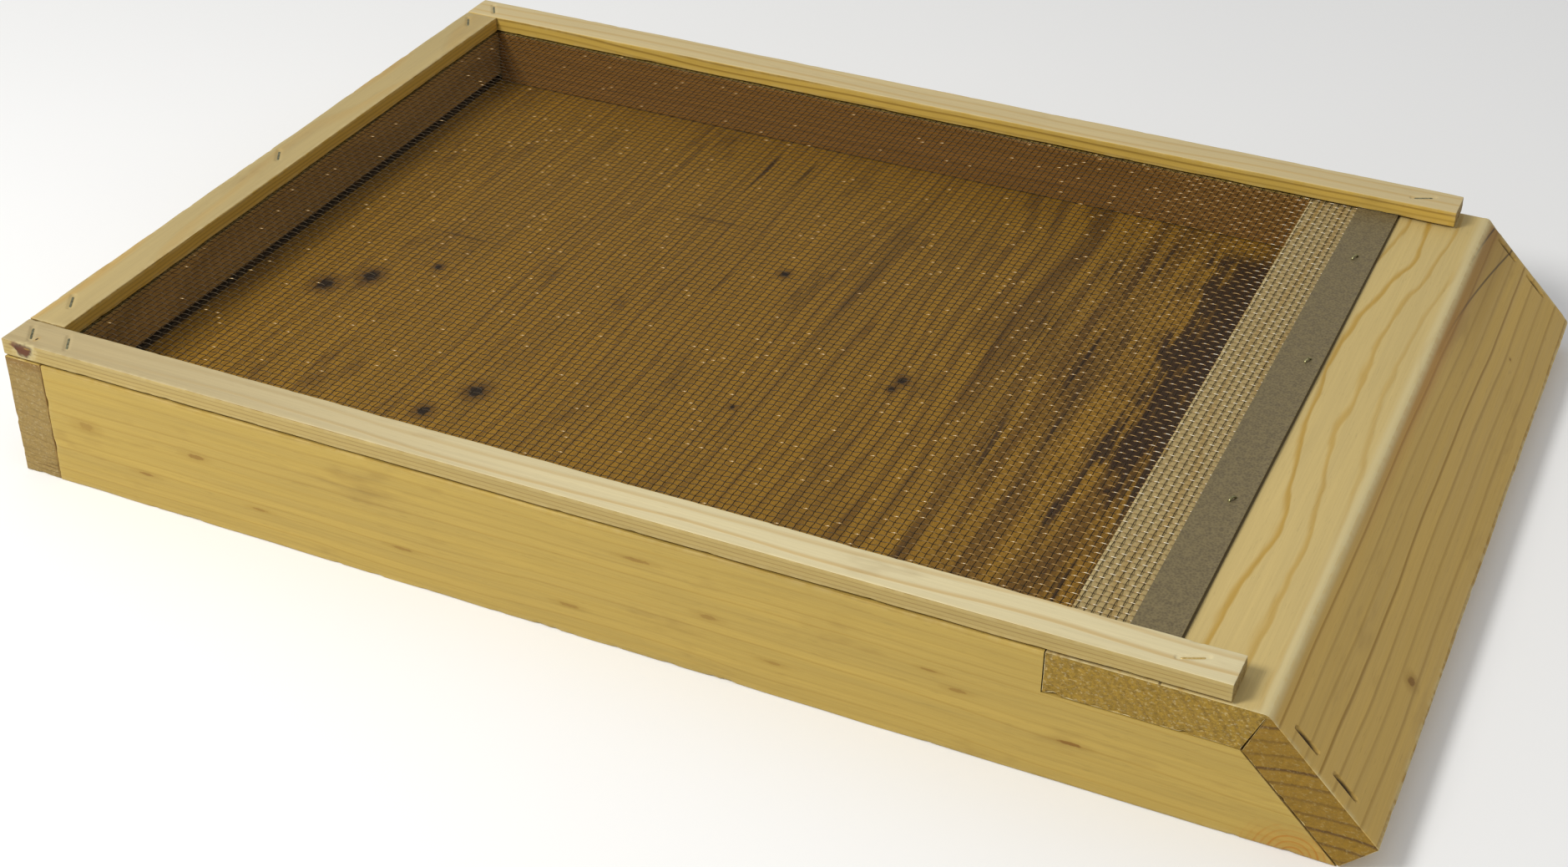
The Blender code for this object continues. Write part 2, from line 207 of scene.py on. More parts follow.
def vertex_normals(points, faces):
    """Mean of the normals of the quads round each vertex, weighted by their area."""
    corner = points[faces]
    cross = np.cross(corner[:, 2] - corner[:, 0], corner[:, 3] - corner[:, 1])
    total = np.zeros_like(points)
    for column in range(4):
        np.add.at(total, faces[:, column], cross)
    return total / np.maximum(np.linalg.norm(total, axis=1, keepdims=True), 1e-20)


def piece(name, points, faces, materials, slots=None, body="root", stands_for=(),
          fields=None, sharp=40.0):
    """Puts a surface of quads into a mesh with its fields of vertex values, and rides it on a CAD body."""
    mesh = bpy.data.meshes.new(name)
    mesh.vertices.add(len(points))
    mesh.vertices.foreach_set("co", np.asarray(points, np.float32).ravel())
    mesh.loops.add(faces.size)
    mesh.loops.foreach_set("vertex_index", np.asarray(faces, np.int32).ravel())
    mesh.polygons.add(len(faces))
    mesh.polygons.foreach_set("loop_start", np.arange(0, faces.size, 4, dtype=np.int32))
    if slots is not None:
        mesh.polygons.foreach_set("material_index", np.asarray(slots, np.int32))
    mesh.update(calc_edges=True)
    for label, values in (fields or {}).items():
        mesh.attributes.new(label, "FLOAT", "POINT").data.foreach_set("value", values.astype(np.float32))
    mesh.shade_smooth()
    mesh.set_sharp_from_angle(angle=np.radians(sharp))
    for material in materials:
        mesh.materials.append(material)
    obj = bpy.data.objects.new(name, mesh)
    bpy.context.scene.collection.objects.link(obj)
    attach(obj, body)
    if stands_for:
        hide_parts(*stands_for)
    return obj


def tube(rings, spokes, start=0):
    """Quads of a tube of rings of points, numbered from a start, or of one tube for each start.

    A quad joins a point and the next one round its ring to the same two on the next ring.
    """
    near = np.reshape(start, (-1, 1, 1)) + np.arange(rings - 1)[:, None] * spokes
    here = near + np.arange(spokes)
    beside = near + (np.arange(spokes) + 1) % spokes
    return np.stack([here, beside, beside + spokes, here + spokes], axis=-1).reshape(-1, 4)


def outward(points, faces):
    """A closed surface's faces, turned round where the volume that they sweep from its middle is negative."""
    a, b, c, d = (points[faces[:, i]] - points.mean(axis=0) for i in range(4))
    volume = (np.einsum("ij,ij->i", a, np.cross(b, c)) + np.einsum("ij,ij->i", a, np.cross(c, d))).sum()
    return faces if volume > 0 else faces[:, ::-1]


def crown_of(node, up):
    """Middle and direction of a staple's crown, from the highest points of its CAD node.

    The direction is the first principal axis of those points.
    """
    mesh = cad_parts[node].data
    points = np.empty(len(mesh.vertices) * 3, np.float32)
    mesh.vertices.foreach_get("co", points)
    points = points.reshape(-1, 3).astype(float)
    height = points @ up
    crown = np.unique(np.round(points[height > height.max() - 0.0002], 6), axis=0)
    middle = crown.mean(axis=0)
    direction = np.linalg.svd(crown - middle)[2][0]
    return middle, direction


def crown_dent(points, middle, along, half, depth, reach=0.0008):
    """Depth of the dent that a crown presses: full within reach of its line, none past twice that."""
    away = points - middle
    run = np.clip(away @ along, -half, half)
    gap = np.linalg.norm(away - run[:, None] * along, axis=1)
    return depth * (1.0 - smooth(reach, 2.0 * reach, gap))


def wooden(name, node, lines, filled, materials, ends, *, sawn=(), warp=None, dents=(), seed=0,
           body="root", rough_end=0.00018, chips=0.0010, flat=0.00006, soften=None,
           rub=None):
    """A board: skin of its cells, eased and chipped edges, warped, then wavy faces and torn ends.

    materials are for faces, ends and sawn sides. ends and sawn are facings as skin() gives them.
    The edge radius grows where a ripple passes a limit, which leaves chips, and soften scales it. rub
    is two distances from the arris between which the pale worn band fades out.
    """
    points, faces, facing = skin(lines, filled)
    low = np.array([line[0] for line in lines])
    high = np.array([line[-1] for line in lines])
    edge = edge_nearness(points, low, high)
    chip = smooth(0.5, 1.4, ripple(points, 0.008, seed + 1)) * (chips(points) if callable(chips) else chips)
    radius = EDGE_EASE * (1 + 0.35 * ripple(points, 0.03, seed)) + chip
    if soften is not None:
        radius = np.maximum(radius * soften(points), 1e-6)
    points = eased(points, low, high, radius)
    if warp is not None:
        points = warp(points)
    normals = vertex_normals(points, faces)
    is_end = np.isin(facing, ends).astype(float)
    end_share = np.zeros(len(points))
    count = np.zeros(len(points))
    for column in range(4):
        np.add.at(end_share, faces[:, column], is_end)
        np.add.at(count, faces[:, column], 1.0)
    end_share /= count
    height = flat * (ripple(points, 0.045, seed + 2) - 1.0)
    height -= end_share * rough_end * np.abs(ripple(points, 0.0035, seed + 3, 12))
    for middle, along, half, depth in dents:
        height -= crown_dent(points, middle, along, half, depth)
    rub_and_highlight = None
    if rub is not None:
        from_arris = np.hypot(points[:, 0] - ARRIS_X, points[:, 2] - TOP)
        rub_and_highlight = 1.0 - smooth(*rub, from_arris)
        height = height * smooth(0.0, 0.004, from_arris)
    points = points + normals * height[:, None]
    slots = np.where(np.isin(facing, ends), 1, np.where(np.isin(facing, sawn), 2, 0))
    fields = {"edge": edge} if rub_and_highlight is None else {"edge": edge, "rub": rub_and_highlight}
    return piece(name, points, faces, materials, slots, body, (node,), fields)


# ---------------------------------------------------------------- shader node groups

class Graph:
    """A node tree with short calls to add nodes and join them."""

    def __init__(self, tree):
        self.tree = tree

    def put(self, socket, value):
        """Joins another socket to a socket, or sets its value."""
        if isinstance(value, bpy.types.NodeSocket):
            self.tree.links.new(value, socket)
        elif socket.type == "RGBA" and len(value) == 3:
            socket.default_value = (*value, 1.0)
        else:
            socket.default_value = value

    def node(self, kind, inputs, **settings):
        """A shader node with its settings, and its inputs by name or number."""
        made = self.tree.nodes.new("ShaderNode" + kind)
        for name, value in settings.items():
            setattr(made, name, value)
        for key, value in inputs.items():
            self.put(made.inputs[key], value)
        return made

    def math(self, operation, *values):
        return self.node("Math", dict(enumerate(values)), operation=operation).outputs[0]

    def times(self, first, second):
        return self.math("MULTIPLY", first, second)

    def swing(self, value, by, about):
        """A value that lies about a half, made to lie about another number and swing by a factor."""
        return self.math("MULTIPLY_ADD", self.math("SUBTRACT", value, 0.5), by, about)

    def gap(self, first, second):
        return self.math("ABSOLUTE", self.math("SUBTRACT", first, second))

    def parts(self, vector):
        return self.node("SeparateXYZ", {0: vector}).outputs

    def field(self, name):
        """A piece's own value, one for each point."""
        return self.node("Attribute", {}, attribute_name=name).outputs["Fac"]

    def step(self, value, low, high, to_low=0.0, to_high=1.0):
        """Smooth step of a value between two limits."""
        places = {"Value": value, "From Min": low, "From Max": high, "To Min": to_low, "To Max": to_high}
        return self.node("MapRange", places, interpolation_type="SMOOTHSTEP").outputs["Result"]

    def scaled(self, vector, factors):
        """A vector with each part multiplied by its own factor."""
        return self.node("VectorMath", {0: vector, 1: factors}, operation="MULTIPLY").outputs[0]

    def noise(self, vector, scales, detail=2.0, roughness=0.5):
        """Noise of a vector stretched by a scale for each axis, about 0.5 in the mean."""
        inputs = {"Vector": self.scaled(vector, scales), "Scale": 1.0, "Detail": detail,
                  "Roughness": roughness}
        return self.node("TexNoise", inputs).outputs[0]

    def mix(self, factor, first, second):
        """Colour between two colours."""
        return self.node("Mix", {0: factor, 6: first, 7: second}, data_type="RGBA").outputs[2]

    def group(self, tree, inputs):
        """Outputs of a node group placed in this tree with its own values."""
        made = self.tree.nodes.new("ShaderNodeGroup")
        made.node_tree = tree
        for key, value in inputs.items():
            self.put(made.inputs[key], value)
        return made.outputs


def node_group(name, inputs, outputs, fill):
    """Shader node group with named sockets, built once. fill gets the graph and the inputs, and
    returns a socket for each output's name."""
    if name in bpy.data.node_groups:
        return bpy.data.node_groups[name]
    tree = bpy.data.node_groups.new(name, "ShaderNodeTree")
    for label, (kind, default) in inputs.items():
        socket = tree.interface.new_socket(label, in_out="INPUT", socket_type="NodeSocket" + kind)
        socket.default_value = default
    for label in outputs:
        tree.interface.new_socket(label, in_out="OUTPUT", socket_type="NodeSocketFloat")
    start = tree.nodes.new("NodeGroupInput")
    end = tree.nodes.new("NodeGroupOutput")
    made = fill(Graph(tree), start.outputs)
    for label in outputs:
        tree.links.new(made[label], end.inputs[label])
    return tree


def growth_rings():
    """Year rings round the X axis of the vector: distance from the axis over the spacing, bent by
    slow noise. Late wood darkens slowly and ends sharply, and each ring has its own strength."""

    def fill(graph, given):
        parts = graph.parts(given["Vector"])
        squares = [graph.times(part, part) for part in (parts[1], parts[2])]
        radius = graph.math("SQRT", graph.math("ADD", *squares))
        slow = graph.math("SUBTRACT", graph.noise(given["Vector"], (5.0, 16.0, 16.0), 1.5), 0.5)
        quick = graph.math("SUBTRACT", graph.noise(given["Vector"], (24.0, 90.0, 90.0), 2.0), 0.5)
        bend = graph.math("MULTIPLY_ADD", slow, given["Wander"],
                          graph.times(quick, given["Wobble"]))
        count = graph.math("ADD", graph.math("DIVIDE", graph.math("ADD", radius, bend),
                                             given["Spacing"]), given["Seed"])
        share = graph.math("FRACT", count)
        own = graph.node("TexWhiteNoise", {"W": graph.math("FLOOR", count)}, noise_dimensions="1D")
        start, full, fall = (graph.math("MULTIPLY_ADD", given["Late Share"], part, 1.0)
                             for part in (-1.0, -0.4, -0.3))
        late = graph.times(graph.step(share, start, full), graph.step(share, fall, 1.0, 1.0, 0.0))
        strength = graph.math("MULTIPLY_ADD", own.outputs[0], 0.75, 0.4)
        return {"Late Wood": graph.times(late, strength), "Ring Tone": own.outputs[0]}

    inputs = {"Vector": ("Vector", (0, 0, 0)), "Spacing": ("Float", 0.004), "Wander": ("Float", 0.01),
              "Wobble": ("Float", 0.001), "Late Share": ("Float", 0.6), "Seed": ("Float", 40.0)}
    return node_group("Growth Rings", inputs, ("Late Wood", "Ring Tone"), fill)


def wood_fibre():
    """Fibres drawn out along X: fine streaks, broad bands and short resin pores."""

    def fill(graph, given):
        fine = graph.noise(given["Vector"], (22.0, 1100.0, 1100.0), 2.5, 0.6)
        broad = graph.noise(given["Vector"], (7.0, 170.0, 170.0), 2.0)
        pores = graph.noise(given["Vector"], (130.0, 1500.0, 1500.0), 1.0)
        return {"Streaks": fine, "Bands": broad, "Pores": graph.step(pores, 0.66, 0.78)}

    inputs = {"Vector": ("Vector", (0, 0, 0))}
    return node_group("Wood Fibre", inputs, ("Streaks", "Bands", "Pores"), fill)


def soft_blotches():
    """Soft smudges: noise past a limit, drawn out along X."""

    def fill(graph, given):
        wide = graph.noise(given["Vector"], (14.0, 46.0, 46.0), 3.0, 0.55)
        small = graph.noise(given["Vector"], (60.0, 230.0, 230.0), 2.0, 0.5)
        both = graph.math("MULTIPLY_ADD", small, 0.35, graph.times(wide, 0.65))
        return {"Smudge": graph.step(both, given["Limit"], graph.math("ADD", given["Limit"], 0.16))}

    inputs = {"Vector": ("Vector", (0, 0, 0)), "Limit": ("Float", 0.52)}
    return node_group("Soft Blotches", inputs, ("Smudge",), fill)


def knot_spot():
    """A knot or fleck: an ellipsoid about a centre with a ragged rim, and a wide soft halo."""

    def fill(graph, given):
        away = graph.node("VectorMath", {0: given["Vector"], 1: given["Centre"]},
                          operation="SUBTRACT").outputs[0]
        share = graph.node("VectorMath", {0: away, 1: given["Size"]}, operation="DIVIDE").outputs[0]
        far = graph.node("VectorMath", {0: share}, operation="LENGTH").outputs[1]
        ragged = graph.math("SUBTRACT", graph.noise(given["Vector"], (420.0, 420.0, 420.0), 2.0), 0.5)
        bent = graph.math("MULTIPLY_ADD", ragged, 0.9, far)
        return {"Core": graph.step(bent, 0.55, 1.05, 1.0, 0.0), "Halo": graph.step(bent, 0.8, 2.6, 1.0, 0.0)}

    inputs = {"Vector": ("Vector", (0, 0, 0)), "Centre": ("Vector", (0, 0, 0)),
              "Size": ("Vector", (0.004, 0.004, 0.004))}
    return node_group("Knot Spot", inputs, ("Core", "Halo"), fill)


def torn_end():
    """Cut ends of the fibres: fine specks about a half, splinters where coarser noise passes a limit,
    and a height that is the sum of both noises."""

    def fill(graph, given):
        specks = graph.noise(given["Vector"], (900.0, 800.0, 1200.0), 3.0, 0.7)
        chips = graph.noise(given["Vector"], (500.0, 480.0, 800.0), 3.0, 0.7)
        return {"Specks": specks, "Splinters": graph.step(chips, 0.54, 0.66),
                "Height": graph.math("ADD", specks, chips)}

    inputs = {"Vector": ("Vector", (0, 0, 0))}
    return node_group("Torn End", inputs, ("Specks", "Splinters", "Height"), fill)


def edge_wear():
    """Worn edges: the nearness of an edge, broken by noise."""

    def fill(graph, given):
        broken = graph.noise(given["Vector"], (190.0, 190.0, 190.0), 3.0, 0.6)
        near = graph.times(given["Edge"], given["Edge"])
        return {"Wear": graph.times(near, graph.step(broken, 0.36, 0.62))}

    inputs = {"Vector": ("Vector", (0, 0, 0)), "Edge": ("Float", 0.0)}
    return node_group("Edge Wear", inputs, ("Wear",), fill)


def zinc_bloom():
    """Zinc coat: crystals by distance to the nearest of scattered points, and fine grey mottling."""

    def fill(graph, given):
        flakes = graph.node("TexVoronoi", {"Vector": given["Vector"], "Scale": given["Scale"]})
        mottle = graph.noise(given["Vector"], (260.0, 260.0, 260.0), 4.0, 0.65)
        return {"Flakes": flakes.outputs["Distance"], "Mottle": mottle}

    inputs = {"Vector": ("Vector", (0, 0, 0)), "Scale": ("Float", 300.0)}
    return node_group("Zinc Bloom", inputs, ("Flakes", "Mottle"), fill)


# ---------------------------------------------------------------- materials

def linear(code):
    """Linear colour of a six-digit sRGB code."""
    parts = [int(code[i:i + 2], 16) / 255.0 for i in (0, 2, 4)]
    return tuple(p / 12.92 if p <= 0.04045 else ((p + 0.055) / 1.055) ** 2.4 for p in parts)


def new_material(name):
    """A material, its graph, its Principled shader and the object's coordinates."""
    made = bpy.data.materials.new(name)
    made.use_nodes = True
    graph = Graph(made.node_tree)
    shader = made.node_tree.nodes["Principled BSDF"]
    place = made.node_tree.nodes.new("ShaderNodeTexCoord").outputs["Object"]
    return made, graph, shader, place


def pine(name, pale, late, *, pith, along, spacing, wander=0.012, wobble=0.0012, rings=0.8, share=0.6,
         fibre=0.22, bands=0.25, smudge=None, smudge_limit=0.55, smudges=0.5, worn=None, wear=0.5, rub=0.0,
         spots=(), end=False, grit=1.1, splinter=(0.56, 0.48, 0.29), seed=40.0, roughness=0.62, tint=None,
         marks=None):
    """Pine finish: rings about a pith line that runs along an axis, fibres, smudges, worn edges and spots.

    spots are (centre, size, colour, core strength, halo strength). On an end the fibres become torn
    chips: grit is how strongly they show, and splinter is their colour. tint is (colour, axis, from, to):
    a slow change of colour along an axis. marks paints over the colour: it gets the graph, the place, the
    place along the grain and the colour, and returns a colour.
    """
    made, graph, shader, place = new_material(name)
    turn = (0.0, 0.0, np.radians(90.0) if along == "Y" else 0.0)
    local = graph.node("Mapping", {"Vector": place, "Location": pith, "Rotation": turn},
                       vector_type="TEXTURE").outputs[0]
    ring = graph.group(growth_rings(), {"Vector": local, "Spacing": spacing, "Wander": wander,
                                        "Wobble": wobble, "Late Share": share, "Seed": seed})
    grain = graph.group(wood_fibre(), {"Vector": local})
    colour = graph.mix(graph.times(ring["Late Wood"], rings), pale, late)
    if tint:
        shade, axis, start, stop = tint
        parts = graph.parts(place)
        colour = graph.mix(graph.step(parts[axis], start, stop), colour, shade)
    if smudge:
        blot = graph.group(soft_blotches(), {"Vector": local, "Limit": smudge_limit})["Smudge"]
        colour = graph.mix(graph.times(blot, smudges), colour, smudge)
    if end:
        torn = graph.group(torn_end(), {"Vector": local})
        value = graph.swing(torn["Specks"], grit, 1.0)
        colour = graph.mix(graph.times(torn["Splinters"], 0.3 * grit), colour, splinter)
        rise = torn["Height"]
    else:
        tone = graph.swing(grain["Streaks"], fibre, 1.0)
        value = graph.swing(grain["Bands"], bands, tone)
        value = graph.math("SUBTRACT", value, graph.times(grain["Pores"], 0.10))
        rise = graph.math("ADD", grain["Streaks"], graph.times(ring["Late Wood"], 0.8))
    value = graph.swing(ring["Ring Tone"], 0.05, value)
    colour = graph.node("HueSaturation", {"Color": colour, "Value": value}).outputs[0]
    for centre, size, shade, core, halo in spots:
        spot = graph.group(knot_spot(), {"Vector": place, "Centre": centre, "Size": size})
        colour = graph.mix(graph.times(spot["Halo"], halo), colour, late)
        colour = graph.mix(graph.times(spot["Core"], core), colour, shade)
    if marks:
        colour = marks(graph, place, local, colour)
    if worn:
        near = graph.field("edge")
        wear_mask = graph.group(edge_wear(), {"Vector": place, "Edge": near})["Wear"]
        colour = graph.mix(graph.times(wear_mask, wear), colour, worn)
        if rub:
            rub_and_highlight = graph.field("rub")
            colour = graph.mix(graph.times(rub_and_highlight, rub), colour, worn)
    graph.put(shader.inputs["Base Color"], colour)
    graph.put(shader.inputs["Roughness"],
              graph.step(grain["Bands"], 0.3, 0.7, roughness - 0.06, roughness + 0.08))
    shader.inputs["Specular IOR Level"].default_value = 0.35
    bump = graph.node("Bump", {"Height": rise, "Strength": 0.5, "Distance": 0.00035 if end else 0.00012})
    graph.put(shader.inputs["Normal"], bump.outputs[0])
    return made


def galvanised(name, dark, light, *, metallic=1.0, roughness=0.4, scale=300.0, bump=0.00005, deck_lit=None,
               painted_highlight=None):
    """Zinc-coated steel: flakes and mottling between two tones, and roughness that follows them.

    deck_lit is (colour, from, to): painted light, the lighter tone that the steel turns to along X
    where the pale deck lies under it. painted_highlight is (warm, bright): the tones of a painted
    highlight, which the steel turns to as the piece's painted_highlight value goes from 0 over a half to 1.
    """
    made, graph, shader, place = new_material(name)
    coat = graph.group(zinc_bloom(), {"Vector": place, "Scale": scale})
    share = graph.math("MULTIPLY_ADD", coat["Flakes"], 0.5, graph.times(coat["Mottle"], 0.7))
    colour = graph.mix(graph.step(share, 0.25, 0.85), dark, light)
    # Painted light: the tone turns lighter along X, where the deck lies under the screen.
    if deck_lit:
        x = graph.parts(place)[0]
        colour = graph.mix(graph.step(x, deck_lit[1], deck_lit[2]), colour, deck_lit[0])
    # Painted highlight, by each point's own value.
    if painted_highlight:
        rub_and_highlight = graph.field("painted_highlight")
        colour = graph.mix(graph.step(rub_and_highlight, 0.15, 0.55), colour, painted_highlight[0])
        colour = graph.mix(graph.step(rub_and_highlight, 0.65, 0.95), colour, painted_highlight[1])
    graph.put(shader.inputs["Base Color"], colour)
    graph.put(shader.inputs["Roughness"],
              graph.step(coat["Mottle"], 0.3, 0.7, roughness - 0.08, roughness + 0.1))
    shader.inputs["Metallic"].default_value = metallic
    rise = graph.node("Bump", {"Height": coat["Mottle"], "Strength": 0.4, "Distance": bump})
    graph.put(shader.inputs["Normal"], rise.outputs[0])
    return made


# ---------------------------------------------------------------- settings

def paint(name, description, code):
    """A colour that the panel shows."""
    return FloatVectorProperty(name=name, description=description, default=linear(code), subtype="COLOR",
                               size=3, min=0.0, max=1.0)


class BottomBoardWood(PropertyGroup):
    """Colours of the wood."""

    side: paint("Side Board", "Pale wood of the side and rear boards", "ae944a")
    side_late: paint("Side Late Wood", "Dark part of the side boards' rings", "93742c")
    inside: paint("Inside", "Shaded, stained wood inside the box", "8b6329")
    deck: paint("Deck", "Pale wood of the deck board", "c3ad72")
    deck_late: paint("Deck Late Wood", "Dark part of the deck board's rings", "ae8b39")
    slope: paint("Landing Board", "Pale wood of the landing board", "be9e54")
    slope_late: paint("Landing Late Wood", "Dark part of the landing board's rings", "906f29")
    rail: paint("Right Rail", "Pale wood of the right rail", "d0c49c")
    rail_late: paint("Rail Late Wood", "Dark part of the rails' rings", "b5924f")
    rail_side: paint("Rail Side", "Sawn outer side of the right rail", "ab955a")
    rail_left: paint("Left Rail", "Pale wood of the left rail", "c5b385")
    rail_left_side: paint("Left Rail Side", "Sawn sides of the left rail", "c3a34b")
    rail_rear: paint("Rear Rail", "Pale wood of the rear rail", "af9c6b")
    rail_rear_side: paint("Rear Rail Side", "Sawn inner side of the rear rail", "c09a42")
    deck_end: paint("Deck End", "Torn end grain of the deck board", "907325")
    slope_end: paint("Landing End", "End grain of the landing board", "876718")
    rear_end: paint("Rear End", "End grain of the rear board and the rails", "907842")
    end_late: paint("End Late Wood", "Dark rings on the cut ends", "54390f")
    tray: paint("Mite Board", "Face of the mite board", "99711f")
    tray_late: paint("Mite Board Late Wood", "Dark rings of the mite board", "4a2e14")
    smudge: paint("Smudge", "Brown smudges and handling marks", "7a5c2a")
    fleck: paint("Fleck", "Resin flecks of the side boards", "7a5318")
    knot: paint("Knot", "Dark knots", "1d140c")
    red_knot: paint("Red Knot", "Knot at the rear corner of the right rail", "5d2f12")
    # Painted shade: the deck's tone where the screen lies on it.
    painted_deck_shade: paint("Deck Shade Under Screen", "Deck board under the screen", "75634c")
    stain: paint("Arris Stain", "Orange-brown band just under the arris", "a06c30")
    orange: paint("Orange Grain", "Warm arcs at the foot of the right side board", "a8701e")
    # Also the colour of painted shadow lines and of the painted shade round the landing board's staples.
    dark_brown: paint("Dark Brown", "Dark streaks of the mite board", "2c1a12")
    rear_inside: paint("Rear Inside", "Stained inner face of the rear board", "a98850")
    worn: paint("Worn Edge", "Pale wood where an edge is rubbed", "c8b98a")


class BottomBoardScreen(PropertyGroup):
    """Sizes of the woven screen."""

    wire: FloatProperty(name="Wire", description="Diameter of the screen's wire", default=0.0004,
                        min=0.0001, unit="LENGTH")
    pitch_x: FloatProperty(name="Pitch Along", description="Spacing of the crosswise wires",
                           default=0.0032, min=0.001, unit="LENGTH")
    pitch_y: FloatProperty(name="Pitch Across", description="Spacing of the lengthwise wires",
                           default=0.00355, min=0.001, unit="LENGTH")
    sag: FloatProperty(name="Sag", description="How far the middle of the screen hangs down",
                       default=0.0007, min=0.0, unit="LENGTH")
    steel_dark: paint("Dark Steel", "Dull parts of the screen's wire", "2e2310")
    steel_light: paint("Light Steel", "Bright parts of the screen's wire", "43351a")
    # Painted light: the wires' tone where the pale deck lies under them, lighter than inside the box.
    steel_lit_over_deck: paint("Steel Lit Over Deck", "Wire over the deck board", "7d6c48")
    # Painted highlights on the lengthwise wires' knuckles: a mid tone and a bright one.
    rub_and_highlight: paint("Wire Highlight", "Knuckles of the lengthwise wires towards the deck", "b8955a")
    bright: paint("Bright Wire", "Glints on the knuckles", "efe6cf")


class BottomBoardSteel(PropertyGroup):
    """Tones of the strip and the fasteners."""

    strip_dark: paint("Strip Dark", "Dull parts of the strip", "6b5f47")
    strip_light: paint("Strip Light", "Bright parts of the strip", "8b7e5c")
    staple_dark: paint("Staple Dark", "Dull parts of the staples", "5b5a44")
    staple_light: paint("Staple Light", "Bright parts of the staples", "a3a283")
    brass_dark: paint("Brassy Staple Dark", "Dull parts of the right rail's front staple", "b5964a")
    brass_light: paint("Brassy Staple Light", "Bright parts of the right rail's front staple", "d8c187")
    # Painted shade: the landing board's sunken staples are nearly black, as they lie shaded in their slots.
    sunken_dark: paint("Sunken Staple Dark", "Dull parts of the landing board's staples", "1a130c")
    sunken_light: paint("Sunken Staple Light", "Bright parts of the landing board's staples", "33291c")
    green_dark: paint("Strip Staple Dark", "Dull parts of the strip's staples", "4a4a26")
    green_light: paint("Strip Staple Light", "Bright parts of the strip's staples", "b5b183")
    nail_dark: paint("Nail Dark", "Dull parts of the nails", "605c50")
    nail_light: paint("Nail Light", "Bright parts of the nails", "9a9686")


class BottomBoardStage(PropertyGroup):
    """Floor, lights and camera."""

    floor: paint("Floor", "Colour of the floor", "f1f3f6")
    key: FloatProperty(name="Key Light", description="Power of the light from the rear right",
                       default=26.0, min=0.0, unit="POWER")
    fill: FloatProperty(name="Fill", description="Strength of the soft light all round", default=0.55,
                        min=0.0)
    lens: FloatProperty(name="Lens", description="Focal length for a 36 mm wide sensor", default=54.049,
                        min=10.0)
    camera: FloatVectorProperty(name="Camera", description="Where the camera stands",
                                default=(0.376280, -0.866593, 0.608191), size=3, subtype="TRANSLATION",
                                unit="LENGTH")


GROUPS = {"bottom_board_wood": BottomBoardWood, "bottom_board_screen": BottomBoardScreen,
          "bottom_board_steel": BottomBoardSteel, "bottom_board_stage": BottomBoardStage}


# ---------------------------------------------------------------- pieces

def wood():
    """The scene's wood colours."""
    return bpy.context.scene.bottom_board_wood


def eased_drop(behind):
    """How far a face falls below the sharp arris, a distance behind it: the arc of the eased edge."""
    run = ARRIS_RADIUS * LEAN
    reach = np.clip(run - behind, 0.0, None)
    return ARRIS_RADIUS - np.sqrt(np.maximum(ARRIS_RADIUS ** 2 - reach ** 2, 0.0))


def slope_end(height):
    """X where a side board's slanted end stands at a height, clear of the landing board's back."""
    return FOOT_HIGH[0] - BOARD * np.sin(SLOPE) - height / np.tan(SLOPE) - FIT / np.sin(SLOPE)


# Resin flecks on the right side board: X, height, half length, half height, strength
FLECKS = ((0.196, 0.0205, 0.0055, 0.0010, 0.85), (0.150, 0.030, 0.0045, 0.0010, 0.5),
          (0.138, 0.036, 0.0040, 0.0008, 0.45), (-0.262, 0.034, 0.0050, 0.0022, 0.35),
          (-0.203, 0.0350, 0.0050, 0.0013, 0.6), (-0.232, 0.0175, 0.0055, 0.0008, 0.6),
          (-0.172, 0.0165, 0.0045, 0.0007, 0.5), (-0.100, 0.0185, 0.0060, 0.0008, 0.5),
          (-0.020, 0.0150, 0.0050, 0.0010, 0.45), (0.012, 0.0480, 0.0070, 0.0010, 0.5),
          (0.044, 0.0300, 0.0045, 0.0012, 0.45), (0.072, 0.0165, 0.0050, 0.0008, 0.4))


